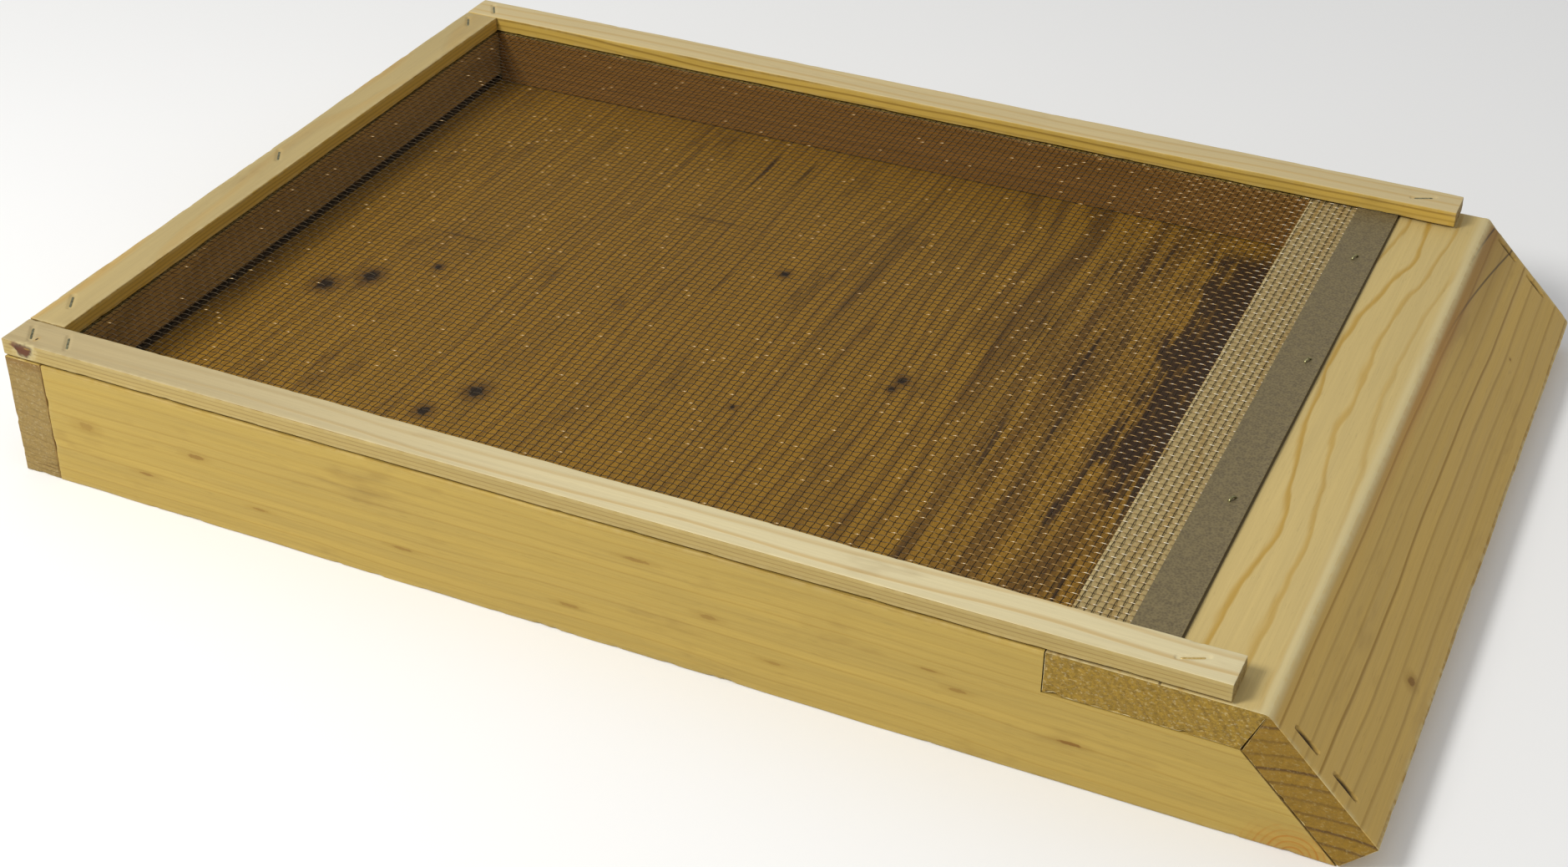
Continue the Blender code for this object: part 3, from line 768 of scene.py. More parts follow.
class BOTTOMBOARD_OT_side_boards(Operator):
    """Make the two side boards: notched for the deck, grooved for the mite board, cut to the slope"""

    bl_idname = "bottom_board.side_boards"
    bl_label = "Side Boards"

    def execute(self, context):
        colours = wood()
        flecks = [((x, -HALF, z), (length, 0.002, tall), colours.fleck, strength, 0.3)
                  for x, z, length, tall, strength in FLECKS]
        inner_late = tuple(0.6 * c for c in colours.inside)
        for number, (side, node) in enumerate(((-1, "right_side_board"), (1, "left_side_board"))):
            grain = dict(pith=(0, side * 0.25, 0.10), along="X", spacing=0.0040, seed=40.0 + number)
            face = pine(f"{node}_face", colours.side, colours.side_late, wander=0.014, rings=0.34, share=0.35,
                        smudge=colours.smudge, smudges=0.30, worn=colours.worn, wear=0.15, fibre=0.3,
                        spots=flecks if side < 0 else (), marks=self.arcs if side < 0 else None, **grain)
            inner = pine(f"{node}_inner", colours.inside, inner_late, wander=0.02, rings=0.5,
                         smudge=inner_late, smudges=0.5, **grain)
            end = pine(f"{node}_end", colours.rear_end, colours.end_late, rings=0.5, end=True, **grain)
            low, high = corners(node)
            groove = side * GROOVE_Y
            lines = [ticks(low[0], high[0], 0.0026, marks=(DECK_LOW[0] - FIT, DECK_LOW[0] - FIT + 0.0006)),
                     ticks(low[1], high[1], 0.0024, marks=(groove,)),
                     ticks(low[2], high[2], 0.0022, marks=(SLOT_BOTTOM, GROOVE_TOP, DECK_LOW[2] - FIT))]
            x, y, z = cells(lines)
            notch = (x > DECK_LOW[0] - FIT) & (z > DECK_LOW[2] - FIT)
            inside = (z > SLOT_BOTTOM) & (z < GROOVE_TOP) & (y * side < GROOVE_Y)
            wooden(f"{node}_wood", node, lines, ~notch & ~inside, [face, end, inner], (1, -1),
                   sawn=(-2 * side,), seed=10 + number, warp=self.slant(high[0]))
        return {"FINISHED"}

    @staticmethod
    def arcs(graph, place, local, colour):
        """Orange arcs round a branch at the foot: rings about an axis across the board, within its halo."""
        colours = wood()
        centre = (FOOT_HIGH[0] - 0.030, -HALF, -0.002)
        turn = (0, 0, np.radians(90.0))
        across = graph.node("Mapping", {"Vector": place, "Location": centre, "Rotation": turn},
                            vector_type="TEXTURE").outputs[0]
        ring = graph.group(growth_rings(), {"Vector": across, "Spacing": 0.0026, "Wander": 0.004,
                                            "Wobble": 0.001, "Late Share": 0.5, "Seed": 12.0})["Late Wood"]
        spot = graph.group(knot_spot(), {"Vector": place, "Centre": centre, "Size": (0.011, 0.01, 0.007)})
        strength = graph.times(spot["Halo"], graph.math("MULTIPLY_ADD", ring, 0.6, 0.3))
        return graph.mix(strength, colour, colours.orange)

    @staticmethod
    def slant(front):
        """Draws the front in to the slope: x goes on from the notch in proportion, to the sloping end."""
        start = DECK_LOW[0] + 0.01

        def warp(points):
            x, y, z = points.T
            share = np.clip((x - start) / (front - start), 0.0, None)
            return np.stack([np.where(x > start, start + share * (slope_end(z) - start), x), y, z], axis=1)

        return warp


class BOTTOMBOARD_OT_rear_board(Operator):
    """Make the rear board, with the slot that the mite board slides out through"""

    bl_idname = "bottom_board.rear_board"
    bl_label = "Rear Board"

    def execute(self, context):
        colours = wood()
        inner_late = tuple(0.6 * c for c in colours.rear_inside)
        face = pine("rear_board_face", colours.side, colours.side_late, pith=(-0.48, 0, 0.02), along="Y",
                    spacing=0.005, wander=0.018, rings=0.5, smudge=colours.smudge, smudges=0.4,
                    worn=colours.worn)
        inner = pine("rear_board_inner", colours.rear_inside, inner_late, pith=(-0.10, 0, 0.02), along="Y",
                     spacing=0.005, wander=0.018, rings=0.5)
        end = pine("rear_board_end", colours.rear_end, colours.end_late, pith=(-0.30, 0, -0.06), along="Y",
                   spacing=0.0036, rings=0.28, share=0.4, end=True, grit=0.8,
                   tint=(colours.smudge, 2, 0.052, 0.062), marks=self.saw_lines)
        nails = [np.array([REAR_LOW[0], *np.mean(corners(f"rear_board_nail_{n}"), axis=0)[1:]])
                 for n in range(1, 5)]
        lines = [ticks(REAR_LOW[0], REAR_HIGH[0], 0.0016),
                 ticks(REAR_LOW[1], REAR_HIGH[1], 0.0028, marks=(-SLOT_Y, SLOT_Y),
                       fine=[(side * nails[-1][1], 0.005, 0.0006) for side in (-1, 1)]),
                 ticks(REAR_LOW[2], REAR_HIGH[2], 0.0014, marks=(SLOT_BOTTOM, SLOT_TOP))]
        x, y, z = cells(lines)
        slot = (np.abs(y) < SLOT_Y) & (z > SLOT_BOTTOM) & (z < SLOT_TOP)
        wooden("rear_board_wood", "rear_board", lines, ~slot, [face, end, inner], (2, -2), sawn=(1,), seed=20,
               dents=[(nail, ACROSS, 0.0022, 0.0004) for nail in nails])
        return {"FINISHED"}

    @staticmethod
    def saw_lines(graph, place, local, colour):
        """Level dark lines across the end, in its lowest part: noise drawn out flat, past a limit."""
        height = graph.parts(place)[2]
        line = graph.step(graph.noise(place, (25.0, 25.0, 800.0), 1.0), 0.5, 0.62)
        return graph.mix(graph.times(line, graph.step(height, 0.007, 0.018, 0.55, 0.0)), colour,
                         wood().end_late)


class BOTTOMBOARD_OT_deck_board(Operator):
    """Make the deck board, mitred to the landing board along the eased arris"""

    bl_idname = "bottom_board.deck_board"
    bl_label = "Deck Board"

    def execute(self, context):
        colours = wood()
        pith = (0.120, 0, -0.030)
        face = pine("deck_board_face", colours.deck, colours.deck_late, pith=pith, along="Y", spacing=0.0100,
                    wander=0.036, wobble=0.0060, rings=0.9, share=0.30, bands=0.12, worn=colours.worn,
                    wear=0.9, rub=0.8, marks=self.painted_deck_shade)
        end = pine("deck_board_end", colours.deck_end, colours.end_late, pith=pith, along="Y",
                   spacing=0.0042, rings=0.25, end=True, grit=1.7, splinter=(0.46, 0.37, 0.19))
        lines = [ticks(DECK_LOW[0], ARRIS_X, 0.0014, fine=((ARRIS_X, 0.003, 0.0005),)),
                 ticks(-HALF, HALF, 0.0030, fine=((-HALF, 0.006, 0.001), (HALF, 0.006, 0.001))),
                 ticks(DECK_LOW[2], TOP, 0.0011)]
        start = DECK_LOW[0] + 0.04

        def warp(points):
            """Draws the front in to the mitre, opens the joint downwards and lowers the eased edge."""
            x, y, z = points.T
            depth = TOP - z
            front = ARRIS_X - depth * LEAN - MITRE_OPENING * depth * (1 + 0.3 * ripple(points, 0.05, 5))
            x = np.where(x > start, start + (x - start) / (ARRIS_X - start) * (front - start), x)
            drop = eased_drop(ARRIS_X - x) * np.clip(1.0 - depth / EASED_DEPTH, 0.0, 1.0)
            return np.stack([x, y, z - drop], axis=1)

        wooden("deck_board_wood", "deck_board", lines, whole(lines),
               [face, end], (2, -2), seed=30, warp=warp, flat=0.00004, rough_end=0.00045,
               chips=lambda p: 0.0006 + 0.0016 * smooth(TOP - 0.010, TOP - BOARD, p[:, 2]),
               soften=lambda p: smooth(0.0, 0.005, ARRIS_X - p[:, 0]), rub=(0.0022, 0.0055))
        return {"FINISHED"}

    @staticmethod
    def painted_deck_shade(graph, place, local, colour):
        """Painted shade where the screen lies on the deck behind the strip, and a painted shadow line under
        the strip's lifted front edge.
        """
        x = graph.parts(place)[0]
        # Painted shade where the screen lies on the deck.
        covered = graph.step(x, STRIP_LOW[0], STRIP_LOW[0] + 0.004, 0.36, 0.0)
        colour = graph.mix(covered, colour, wood().painted_deck_shade)
        # Painted shadow: a thin dark line under the strip's lifted front edge.
        away = graph.gap(x, STRIP_HIGH[0] + 0.0002)
        return graph.mix(graph.step(away, 0.0003, 0.0008, 0.75, 0.0), colour, wood().dark_brown)


class BOTTOMBOARD_OT_landing_board(Operator):
    """Make the slanted landing board, with dents where its staples are sunk"""

    bl_idname = "bottom_board.landing_board"
    bl_label = "Landing Board"

    def execute(self, context):
        colours = wood()
        pith = (0.300, 0, -0.100)
        spots = [((0.305, -0.117, 0.0225), (0.0024, 0.0030, 0.0024), colours.fleck, 0.8, 0.5),
                 ((0.297, 0.128, 0.0308), (0.0009, 0.0012, 0.0009), colours.fleck, 0.8, 0.2)]
        face = pine("landing_board_face", colours.slope, colours.slope_late, pith=pith, along="Y",
                    spacing=0.0061, wander=0.006, wobble=0.0005, rings=0.8, share=0.26, bands=0.15,
                    smudge=colours.smudge, smudges=0.2, worn=colours.worn, wear=0.7, rub=0.6, spots=spots,
                    marks=self.shade)
        end = pine("landing_board_end", colours.slope_end, colours.end_late, pith=pith, along="Y",
                   spacing=0.0061, wander=0.006, wobble=0.0005, rings=0.85, share=0.35, end=True, grit=0.7,
                   splinter=(0.50, 0.41, 0.19))
        crowns = [crown_of(f"landing_board_staple_{n}", OUT_OF_SLOPE) for n in range(1, 5)]
        fine_y = [(middle[1], 0.004, 0.0005) for middle, _ in crowns]
        lines = [ticks(0.0, SLOPE_LENGTH, 0.0012),
                 ticks(-HALF, HALF, 0.0030, fine=fine_y), ticks(-BOARD, 0.0, 0.0011)]
        arris = np.array([ARRIS_X, 0.0, TOP])

        def warp(points):
            """Board lengths, across and depths to places: the top end is drawn back along the mitre."""
            down, y, out = points.T
            first = -out * (LEAN + MITRE_OPENING * (1 + 0.3 * ripple(points, 0.05, 6)))
            down = first + down / SLOPE_LENGTH * (SLOPE_LENGTH - first)
            out = out - eased_drop(down) * np.clip(1.0 + out / EASED_DEPTH, 0.0, 1.0)
            return arris + down[:, None] * DOWN_SLOPE + y[:, None] * ACROSS + out[:, None] * OUT_OF_SLOPE

        dents = [(middle + 0.0010 * OUT_OF_SLOPE, along, 0.0056, 0.0013) for middle, along in crowns]
        wooden("landing_board_wood", "landing_board", lines, whole(lines),
               [face, end], (2, -2), seed=40, warp=warp, dents=dents,
               rough_end=0.00030, chips=lambda p: 0.0005 + 0.0020 * smooth(-0.012, -BOARD, p[:, 2]),
               soften=lambda p: smooth(0.0, 0.005, p[:, 0]), rub=(0.0012, 0.0042))
        return {"FINISHED"}

    @staticmethod
    def shade(graph, place, local, colour):
        """Stain just under the arris, a brown zone below it to the left, two dark lines, and painted shade
        round the staples, where they are sunk.

        The stain and the zone are each a smooth step of x times one of y. A line stands where x is a
        smooth step of y, so it comes down from the arris as it goes left. Round a staple the distance
        to its crown is stretched, so that the painted shade is a slot.
        """
        colours = wood()
        x, y, _ = graph.parts(place)
        cloud = graph.step(graph.noise(local, (9.0, 60.0, 60.0), 2.0), 0.3, 0.7, 0.6, 1.0)
        band = graph.times(graph.step(x, ARRIS_X + 0.0035, ARRIS_X + 0.0085, 1.0, 0.0),
                          graph.step(y, -0.12, 0.08, 0.1, 0.6))
        colour = graph.mix(graph.times(band, cloud), colour, colours.stain)
        zone = graph.times(graph.step(x, ARRIS_X + 0.008, ARRIS_X + 0.020, 1.0, 0.0),
                          graph.step(y, 0.05, 0.18, 0.0, 0.6))
        colour = graph.mix(graph.times(zone, cloud), colour, colours.smudge)
        for start, end, right, dark in ((0.0005, 0.0037, 0.152, 0.165), (0.0030, 0.0138, 0.070, 0.165)):
            middle = graph.step(y, right, 2 * HALF - right, ARRIS_X + start, ARRIS_X + 2 * end - start)
            away = graph.gap(x, middle)
            strength = graph.times(graph.step(away, 0.00015, 0.0005, 0.7, 0.0),
                                  graph.step(y, right, dark))
            colour = graph.mix(strength, colour, colours.dark_brown)
        # Painted shade in the slot where each staple is sunk into the board.
        for n in range(1, 5):
            crown = crown_of(f"landing_board_staple_{n}", OUT_OF_SLOPE)[0]
            offset = graph.node("VectorMath", {0: place, 1: tuple(crown)}, operation="SUBTRACT").outputs[0]
            away = graph.node("VectorMath", {0: graph.scaled(offset, (170.0, 900.0, 170.0))},
                              operation="LENGTH").outputs["Value"]
            colour = graph.mix(graph.step(away, 0.8, 1.4, 0.9, 0.0), colour, colours.dark_brown)
        return colour


def rail_dents(crowns):
    """Dents round a rail's staples, as wooden() takes them."""
    return [(middle + 0.0003 * UP, along, RAIL_STAPLE["crown"] / 2, 0.0006) for middle, along in crowns]


class BOTTOMBOARD_OT_rails(Operator):
    """Make the three rails that the hive body stands on, with dents round their staples"""

    bl_idname = "bottom_board.rails"
    bl_label = "Rails"

    def execute(self, context):
        colours = wood()
        knot = np.array([REAR_LOW[0] + 0.0118, -HALF, RAIL_HIGH[2] - 0.0034])
        tip = knot + (-0.0036, 0.0, 0.0014)
        knots = [(knot, (0.0078, 0.0030, 0.0052), colours.worn, 0.8, 0.0),
                 (tip, (0.0048, 0.0020, 0.0022), colours.red_knot, 0.95, 0.0),
                 (knot, (0.0060, 0.0024, 0.0041), colours.knot, 0.85, 0.0),
                 (knot, (0.0051, 0.0024, 0.0034), colours.red_knot, 0.9, 0.0),
                 (knot + (0.002, 0.0, 0.0012), (0.0020, 0.0020, 0.0005), colours.slope_late, 0.8, 0.0),
                 ((REAR_LOW[0] + 0.0150, -HALF + 0.0060, RAIL_HIGH[2]), (0.0006, 0.0012, 0.002), colours.knot,
                  0.9, 0.5)]
        for number, (side, node, count) in enumerate(((-1, "right_rail", 3), (1, "left_rail", 2))):
            tones = ((colours.rail_left, colours.rail_left_side, colours.side_late) if side > 0
                     else (colours.rail, colours.rail_side, colours.smudge))
            self.side_rail(colours, tones, node, side, count, number, knots if side < 0 else ())
        self.rear_rail(colours)
        return {"FINISHED"}

    def side_rail(self, colours, tones, node, side, count, number, knots):
        """A rail along a side board, notched where the strip lies; side is -1 right and 1 left."""
        common = dict(along="X", smudge=colours.smudge, smudges=0.2, worn=colours.worn)
        pith = (0, side * 0.155, 0.02 + 0.01 * number)
        shaded = tuple(share * c for share, c in zip((0.64, 0.58, 0.50), tones[0]))
        top = pine(f"{node}_top", tones[0], colours.rail_late, pith=pith, spacing=0.0062, rings=0.55,
                   wander=0.014, share=0.4, spots=knots, wear=0.3, bands=0.12,
                   tint=(shaded, 0, 0.10, -0.32) if side < 0 else None, **common)
        fine = dict(spacing=0.0019, wander=0.0010, wobble=0.0002, rings=0.75, share=0.4)
        broad = dict(spacing=0.0036, wander=0.016, wobble=0.0010, rings=1.0, share=0.5)
        sawn = pine(f"{node}_side", tones[1], tones[2], pith=(0, side * 0.204, -0.05), spots=knots,
                    wear=0.2, **(broad if side > 0 else fine), **common)
        end = pine(f"{node}_end", colours.rear_end, colours.end_late, pith=pith, along="X", spacing=0.002,
                   rings=0.4, end=True)
        low, high = corners(node)
        crowns = [crown_of(f"{node}_staple_{n}", UP) for n in range(1, count + 1)]
        lines = [ticks(low[0], high[0], 0.0030, marks=(STRIP_LOW[0] - FIT, STRIP_HIGH[0] + FIT),
                       fine=[(middle[0], 0.008, 0.0005) for middle, _ in crowns]),
                 ticks(low[1], high[1], 0.0007), ticks(low[2], high[2], 0.0012, marks=(STRIP_HIGH[2] + FIT,))]
        x, y, z = cells(lines)
        relief = (x > STRIP_LOW[0] - FIT) & (x < STRIP_HIGH[0] + FIT) & (z < STRIP_HIGH[2] + FIT)
        dents = rail_dents(crowns)
        wooden(f"{node}_wood", node, lines, ~relief, [top, end, sawn], (1, -1), sawn=(2, -2),
               seed=50 + number, dents=dents, chips=0.0005, flat=0.00005)

    def rear_rail(self, colours):
        """The rail across the rear board."""
        common = dict(along="Y", smudge=colours.smudge, smudges=0.3, worn=colours.worn, wear=0.3)
        pith = (-0.275, 0, -0.02)
        top = pine("rear_rail_top", colours.rail_rear, colours.rail_late, pith=pith, spacing=0.0030,
                   wander=0.014, rings=0.6, share=0.5, **common)
        sawn = pine("rear_rail_side", colours.rail_rear_side, colours.smudge, pith=pith, spacing=0.0020,
                    wander=0.006, rings=0.5, **common)
        end = pine("rear_rail_end", colours.rear_end, colours.end_late, pith=pith, along="Y", spacing=0.002,
                   rings=0.5, end=True)
        low, high = corners("rear_rail")
        crowns = [crown_of(f"rear_rail_staple_{n}", UP) for n in range(1, 4)]
        lines = [ticks(low[0], high[0], 0.0007),
                 ticks(low[1], high[1], 0.0030, fine=[(middle[1], 0.008, 0.0005) for middle, _ in crowns]),
                 ticks(low[2], high[2], 0.0012)]
        dents = rail_dents(crowns)
        wooden("rear_rail_wood", "rear_rail", lines, whole(lines),
               [top, end, sawn], (2, -2), sawn=(1,), seed=60, dents=dents,
               chips=0.0005, flat=0.00005)


class BOTTOMBOARD_OT_mite_board(Operator):
    """Make the mite board, which slides out at the back, with its finger notch"""

    bl_idname = "bottom_board.mite_board"
    bl_label = "Mite Board"

    def execute(self, context):
        colours = wood()
        knots = [(-0.242, -0.050, 0.0060), (-0.226, -0.034, 0.0058), (-0.125, -0.103, 0.0055),
                 (-0.138, -0.127, 0.0042), (-0.201, -0.012, 0.0024), (-0.014, -0.0645, 0.0018),
                 (0.047, -0.011, 0.0034), (0.045, -0.020, 0.0024), (-0.043, 0.0555, 0.0030),
                 (0.1595, -0.055, 0.0022)]
        burns = [(0.1225, 0.02, 0.0045, 0.12, 0.3, 0.2), (-0.004, 0.075, 0.0030, 0.060, 0.3, 0.2),
                 (-0.100, 0.090, 0.0180, 0.0014, 0.35, 0.15), (-0.205, 0.020, 0.0150, 0.0014, 0.35, 0.15)]
        spots = [((x, y, TRAY_HIGH[2]), (size * 0.8, size, 0.004), colours.knot, 0.95, 0.6)
                 for x, y, size in knots]
        spots += [((x, y, TRAY_HIGH[2]), (length, width, 0.01), colours.dark_brown, core, halo)
                  for x, y, length, width, core, halo in burns]
        face = pine("mite_board_face", colours.tray, colours.tray_late, pith=(0.14, 0, -0.16), along="Y",
                    spacing=0.0045, wander=0.020, wobble=0.0016, rings=0.4, fibre=0.3, bands=0.4,
                    smudge=colours.tray_late, smudges=0.45, smudge_limit=0.54, spots=spots,
                    marks=self.streaks)
        end = pine("mite_board_edge", colours.deck_end, colours.end_late, pith=(0.14, 0, -0.16), along="Y",
                   spacing=0.0016, rings=0.5, end=True)
        half, depth = 0.0375, 0.006  # of the finger notch
        lines = [ticks(TRAY_LOW[0], TRAY_HIGH[0], 0.0040, fine=((TRAY_LOW[0], 0.012, 0.0012),)),
                 ticks(TRAY_LOW[1], TRAY_HIGH[1], 0.0040,
                       fine=[(side * (half - 0.0035), 0.006, 0.0012) for side in (-1, 1)]),
                 ticks(TRAY_LOW[2], TRAY_HIGH[2], 0.0016)]

        def warp(points):
            """Scoops the finger notch: the rear end moves in by a smooth step of the way from its sides."""
            x, y, z = points.T
            scoop = depth * smooth(0.0, depth, half - np.abs(y))
            return np.stack([x + scoop * (1 - smooth(0.0, 0.02, x - TRAY_LOW[0])), y, z], axis=1)

        wooden("mite_board_panel", "mite_board", lines, whole(lines),
               [face, end], (2, -2, 1, -1), seed=70, warp=warp, body="mite_tray",
               chips=0.0006, flat=0.0001)
        return {"FINISHED"}

    @staticmethod
    def streaks(graph, place, local, colour):
        """Soft brown bands along the grain over the front third, then dark streaks.

        The bands are slow noise past a limit. The streaks are quicker noise past a limit that falls
        towards the deck and the left, and they end short of the left edge. A painted shadow crosses the
        board where it lies in the rear board's slot: sharp at the front, and fading raggedly to the rear.
        """
        x, y, _ = graph.parts(place)
        band = graph.step(graph.noise(local, (4.0, 75.0, 10.0), 1.0), 0.50, 0.60, 0.0, 0.45)
        colour = graph.mix(graph.times(band, graph.step(x, 0.03, 0.08)), colour, wood().tray_late)
        streak = graph.noise(local, (9.0, 190.0, 10.0), 3.0, 0.6)
        ragged = graph.noise(local, (26.0, 60.0, 10.0), 2.0)
        flat_x, x = x, graph.swing(ragged, 0.075, x)
        left = graph.step(y, -0.13, 0.06, 0.35, 1.0)
        near = graph.math("MULTIPLY_ADD", graph.step(x, 0.140, 0.172), 0.30,
                          graph.times(graph.step(x, 0.05, 0.155), 0.16))
        reach = graph.math("MULTIPLY_ADD", near, left, streak)
        far_end = graph.step(y, 0.160, 0.180, 1.0, 0.0)
        mask = graph.times(graph.step(reach, 0.62, 0.80, 0.0, 0.90), far_end)
        colour = graph.mix(mask, colour, wood().dark_brown)
        # Painted shadow across the board where it lies in the rear board's slot.
        rear = graph.swing(ragged, 0.030, flat_x)
        slot_shadow = graph.times(graph.step(rear, REAR_LOW[0], REAR_HIGH[0] - 0.0060),
                          graph.step(flat_x, REAR_HIGH[0] - 0.0010, REAR_HIGH[0], 0.9, 0.0))
        return graph.mix(slot_shadow, colour, wood().knot)


class BOTTOMBOARD_OT_wire_screen(Operator):
    """Weave the screen: every wire passes over and under the ones that cross it"""

    bl_idname = "bottom_board.wire_screen"
    bl_label = "Wire Screen"

    def execute(self, context):
        sizes = context.scene.bottom_board_screen
        rng = np.random.default_rng(7)
        inset = sizes.wire
        xs = np.arange(SCREEN_LOW[0] + inset, SCREEN_HIGH[0] - inset, sizes.pitch_x)
        ys = np.arange(SCREEN_LOW[1] + inset, SCREEN_HIGH[1] - inset, sizes.pitch_y)
        xs = xs + rng.normal(0, 0.00012, len(xs)).clip(-0.0003, 0.0003)
        ys = ys + rng.normal(0, 0.00012, len(ys)).clip(-0.0003, 0.0003)
        # Painted light: the wires turn to a lighter tone where they lie over the deck.
        deck_lit = (sizes.steel_lit_over_deck, DECK_LOW[0] - 0.004, DECK_LOW[0] + 0.003)
        light = galvanised("screen_lengthwise_wire", sizes.steel_dark, sizes.steel_light, metallic=0.3,
                           roughness=0.42, deck_lit=deck_lit, painted_highlight=(sizes.rub_and_highlight, sizes.bright))
        # Painted shade: the crosswise wires are a darker copy of the same steel, inside the box and over the
        # deck.
        dark, dark_lit_over_deck = (tuple(share * c for c in tone)
                            for share, tone in ((0.7, sizes.steel_dark), (0.35, sizes.steel_lit_over_deck)))
        shaded_crosswise = galvanised("screen_crosswise_wire", dark, sizes.steel_dark, metallic=0.5, roughness=0.5,
                          deck_lit=(dark_lit_over_deck, *deck_lit[1:]))
        for axis, (label, places, crossings, finish) in enumerate((
                ("lengthwise", ys, xs, light), ("crosswise", xs, ys, shaded_crosswise))):
            for part, numbers in enumerate(np.array_split(np.arange(len(places)), 2), start=1):
                points, faces, painted_highlight = self.wires(axis, places[numbers], numbers, crossings, sizes, rng)
                piece(f"screen_{label}_wires_{part}", points, faces, [finish], stands_for=("wire_screen",),
                      fields={"painted_highlight": painted_highlight}, sharp=100.0)
        return {"FINISHED"}

    def wires(self, axis, places, numbers, crossings, sizes, rng):
        """Tubes along one axis as one array of rings, and the painted highlight of their points.

        Each wire has two rings at a crossing, a fifth of the pitch either side of it, so its knuckle is
        flat. They stand above or below the middle by half the wire's thickness, by turns along the
        wire and from wire to wire. A ring has four points, at the top, the sides and the bottom.
        """
        pitch = np.diff(crossings).mean()
        order = np.arange(len(crossings))
        along = (crossings[:, None] + pitch * np.array([-0.2, 0.2])).ravel()
        over = np.where((order[None, :] + numbers[:, None] + axis) % 2 == 0, 1.0, -1.0)
        height = np.repeat(over, 2, axis=1) * sizes.wire * 0.47
        middle = (SCREEN_LOW[2] + SCREEN_HIGH[2]) / 2
        turn = np.arange(4) * np.pi / 2
        shape = (len(places), len(along), 4)
        side = places[:, None, None] + sizes.wire / 2 * np.cos(turn)[None, None, :]
        rise = middle + height[:, :, None] + sizes.wire / 2 * np.sin(turn)[None, None, :]
        run = np.broadcast_to(along[None, :, None], shape)
        flat = [run, np.broadcast_to(side, shape)]
        points = np.stack([flat[axis], flat[1 - axis], rise], axis=-1).reshape(-1, 3)
        points = points + self.slack(points, sizes.sag)
        painted_highlight = np.zeros(shape)
        # Painted highlight: brightest at the top point of each ring, none at the bottom one.
        if axis == 0:
            painted_highlight += self.knuckle_highlight(over, crossings, rng)[:, :, None] * np.array([0.3, 1.0, 0.8, 0.0])
        first = np.arange(shape[0])[:, None] * shape[1] * 4
        last = first + (shape[1] - 1) * 4
        caps = np.concatenate([first + np.array([3, 2, 1, 0]), last + np.array([0, 1, 2, 3])])
        faces = np.concatenate([tube(shape[1], 4, first), caps])
        return points, faces[:, ::-1] if axis == 0 else faces, painted_highlight.ravel()

    @staticmethod
    def knuckle_highlight(over, crossings, rng):
        """Painted highlight on top of the lengthwise wires' upper knuckles, two values for each.

        It grows with x, to bright over the deck, and by chance a knuckle's rear end is bright anywhere.
        """
        front = smooth(0.03, DECK_LOW[0] - 0.02, crossings)
        deck = smooth(DECK_LOW[0] - 0.014, DECK_LOW[0], crossings)
        dash = (0.55 * front + 0.5 * deck) * rng.uniform(0.8, 1.1, over.shape)
        lucky = rng.random(over.shape) < 0.045 + 0.25 * front + 0.3 * deck
        both = np.stack([np.where(lucky, 1.0, dash), dash], axis=2) * (over > 0)[:, :, None]
        return both.reshape(len(over), -1)

    @staticmethod
    def slack(points, sag):
        """Slow drift of the weave in its plane, and its sag: a product of parabolas over the opening."""
        x, y = points[:, 0], points[:, 1]
        flat = points * np.array([1.0, 1.0, 0.0])
        middle = (REAR_HIGH[0] + DECK_LOW[0]) / 2
        u = (x - middle) / ((DECK_LOW[0] - REAR_HIGH[0]) / 2)
        v = y / (HALF - BOARD)
        hang = np.clip(1 - u * u, 0, 1) * np.clip(1 - v * v, 0, 1)
        down = -sag * hang + 0.00025 * ripple(flat, 0.09, 3) * np.sqrt(hang)
        keep = np.clip((HALF - 0.006 - np.abs(y)) / 0.02, 0, 1)
        drift = [0.0003 * ripple(flat, 0.16, seed) * keep for seed in (1, 2)]
        return np.stack([*drift, down], axis=1)


class BOTTOMBOARD_OT_screen_strip(Operator):
    """Make the steel strip that holds the screen's front edge, with its lifted front edge"""

    bl_idname = "bottom_board.screen_strip"
    bl_label = "Screen Strip"

    def execute(self, context):
        tones = context.scene.bottom_board_steel
        steel = galvanised("strip_steel_sheet", tones.strip_dark, tones.strip_light, metallic=0.55,
                           roughness=0.58, scale=900.0, bump=0.00008)
        crowns = [crown_of(f"strip_staple_{n}", UP) for n in range(1, 4)]
        lines = [ticks(STRIP_LOW[0], STRIP_HIGH[0], 0.0012, ease=0.00018),
                 ticks(STRIP_LOW[1], STRIP_HIGH[1], 0.0030, ease=0.00018,
                       fine=[(round(middle[1], 4), 0.006, 0.0008) for middle, _ in crowns]),
                 np.array([STRIP_LOW[2], STRIP_LOW[2] + 0.0002, STRIP_HIGH[2]])]
        points, faces, _ = skin(lines, whole(lines))
        x, y, _ = points.T
        free = 1 - smooth(0.180, 0.1855, np.abs(y))
        flat = points * np.array([1.0, 1.0, 0.0])
        front = smooth(STRIP_HIGH[0] - 0.004, STRIP_HIGH[0], x)
        rear = 1 - smooth(STRIP_LOW[0], STRIP_LOW[0] + 0.003, x)
        lift = 0.00035 * front * (0.8 + 0.25 * ripple(flat, 0.07, 4))
        lift = lift + 0.00008 * ripple(flat, 0.03, 5) + 0.00016 * rear
        for middle, along in crowns:
            lift = lift - crown_dent(points, middle, along, 0.0025, 0.00030, 0.0014)
        points = points + np.outer(lift * free, UP)
        piece("screen_strip_sheet", points, faces, [steel], stands_for=("screen_strip",))
        return {"FINISHED"}


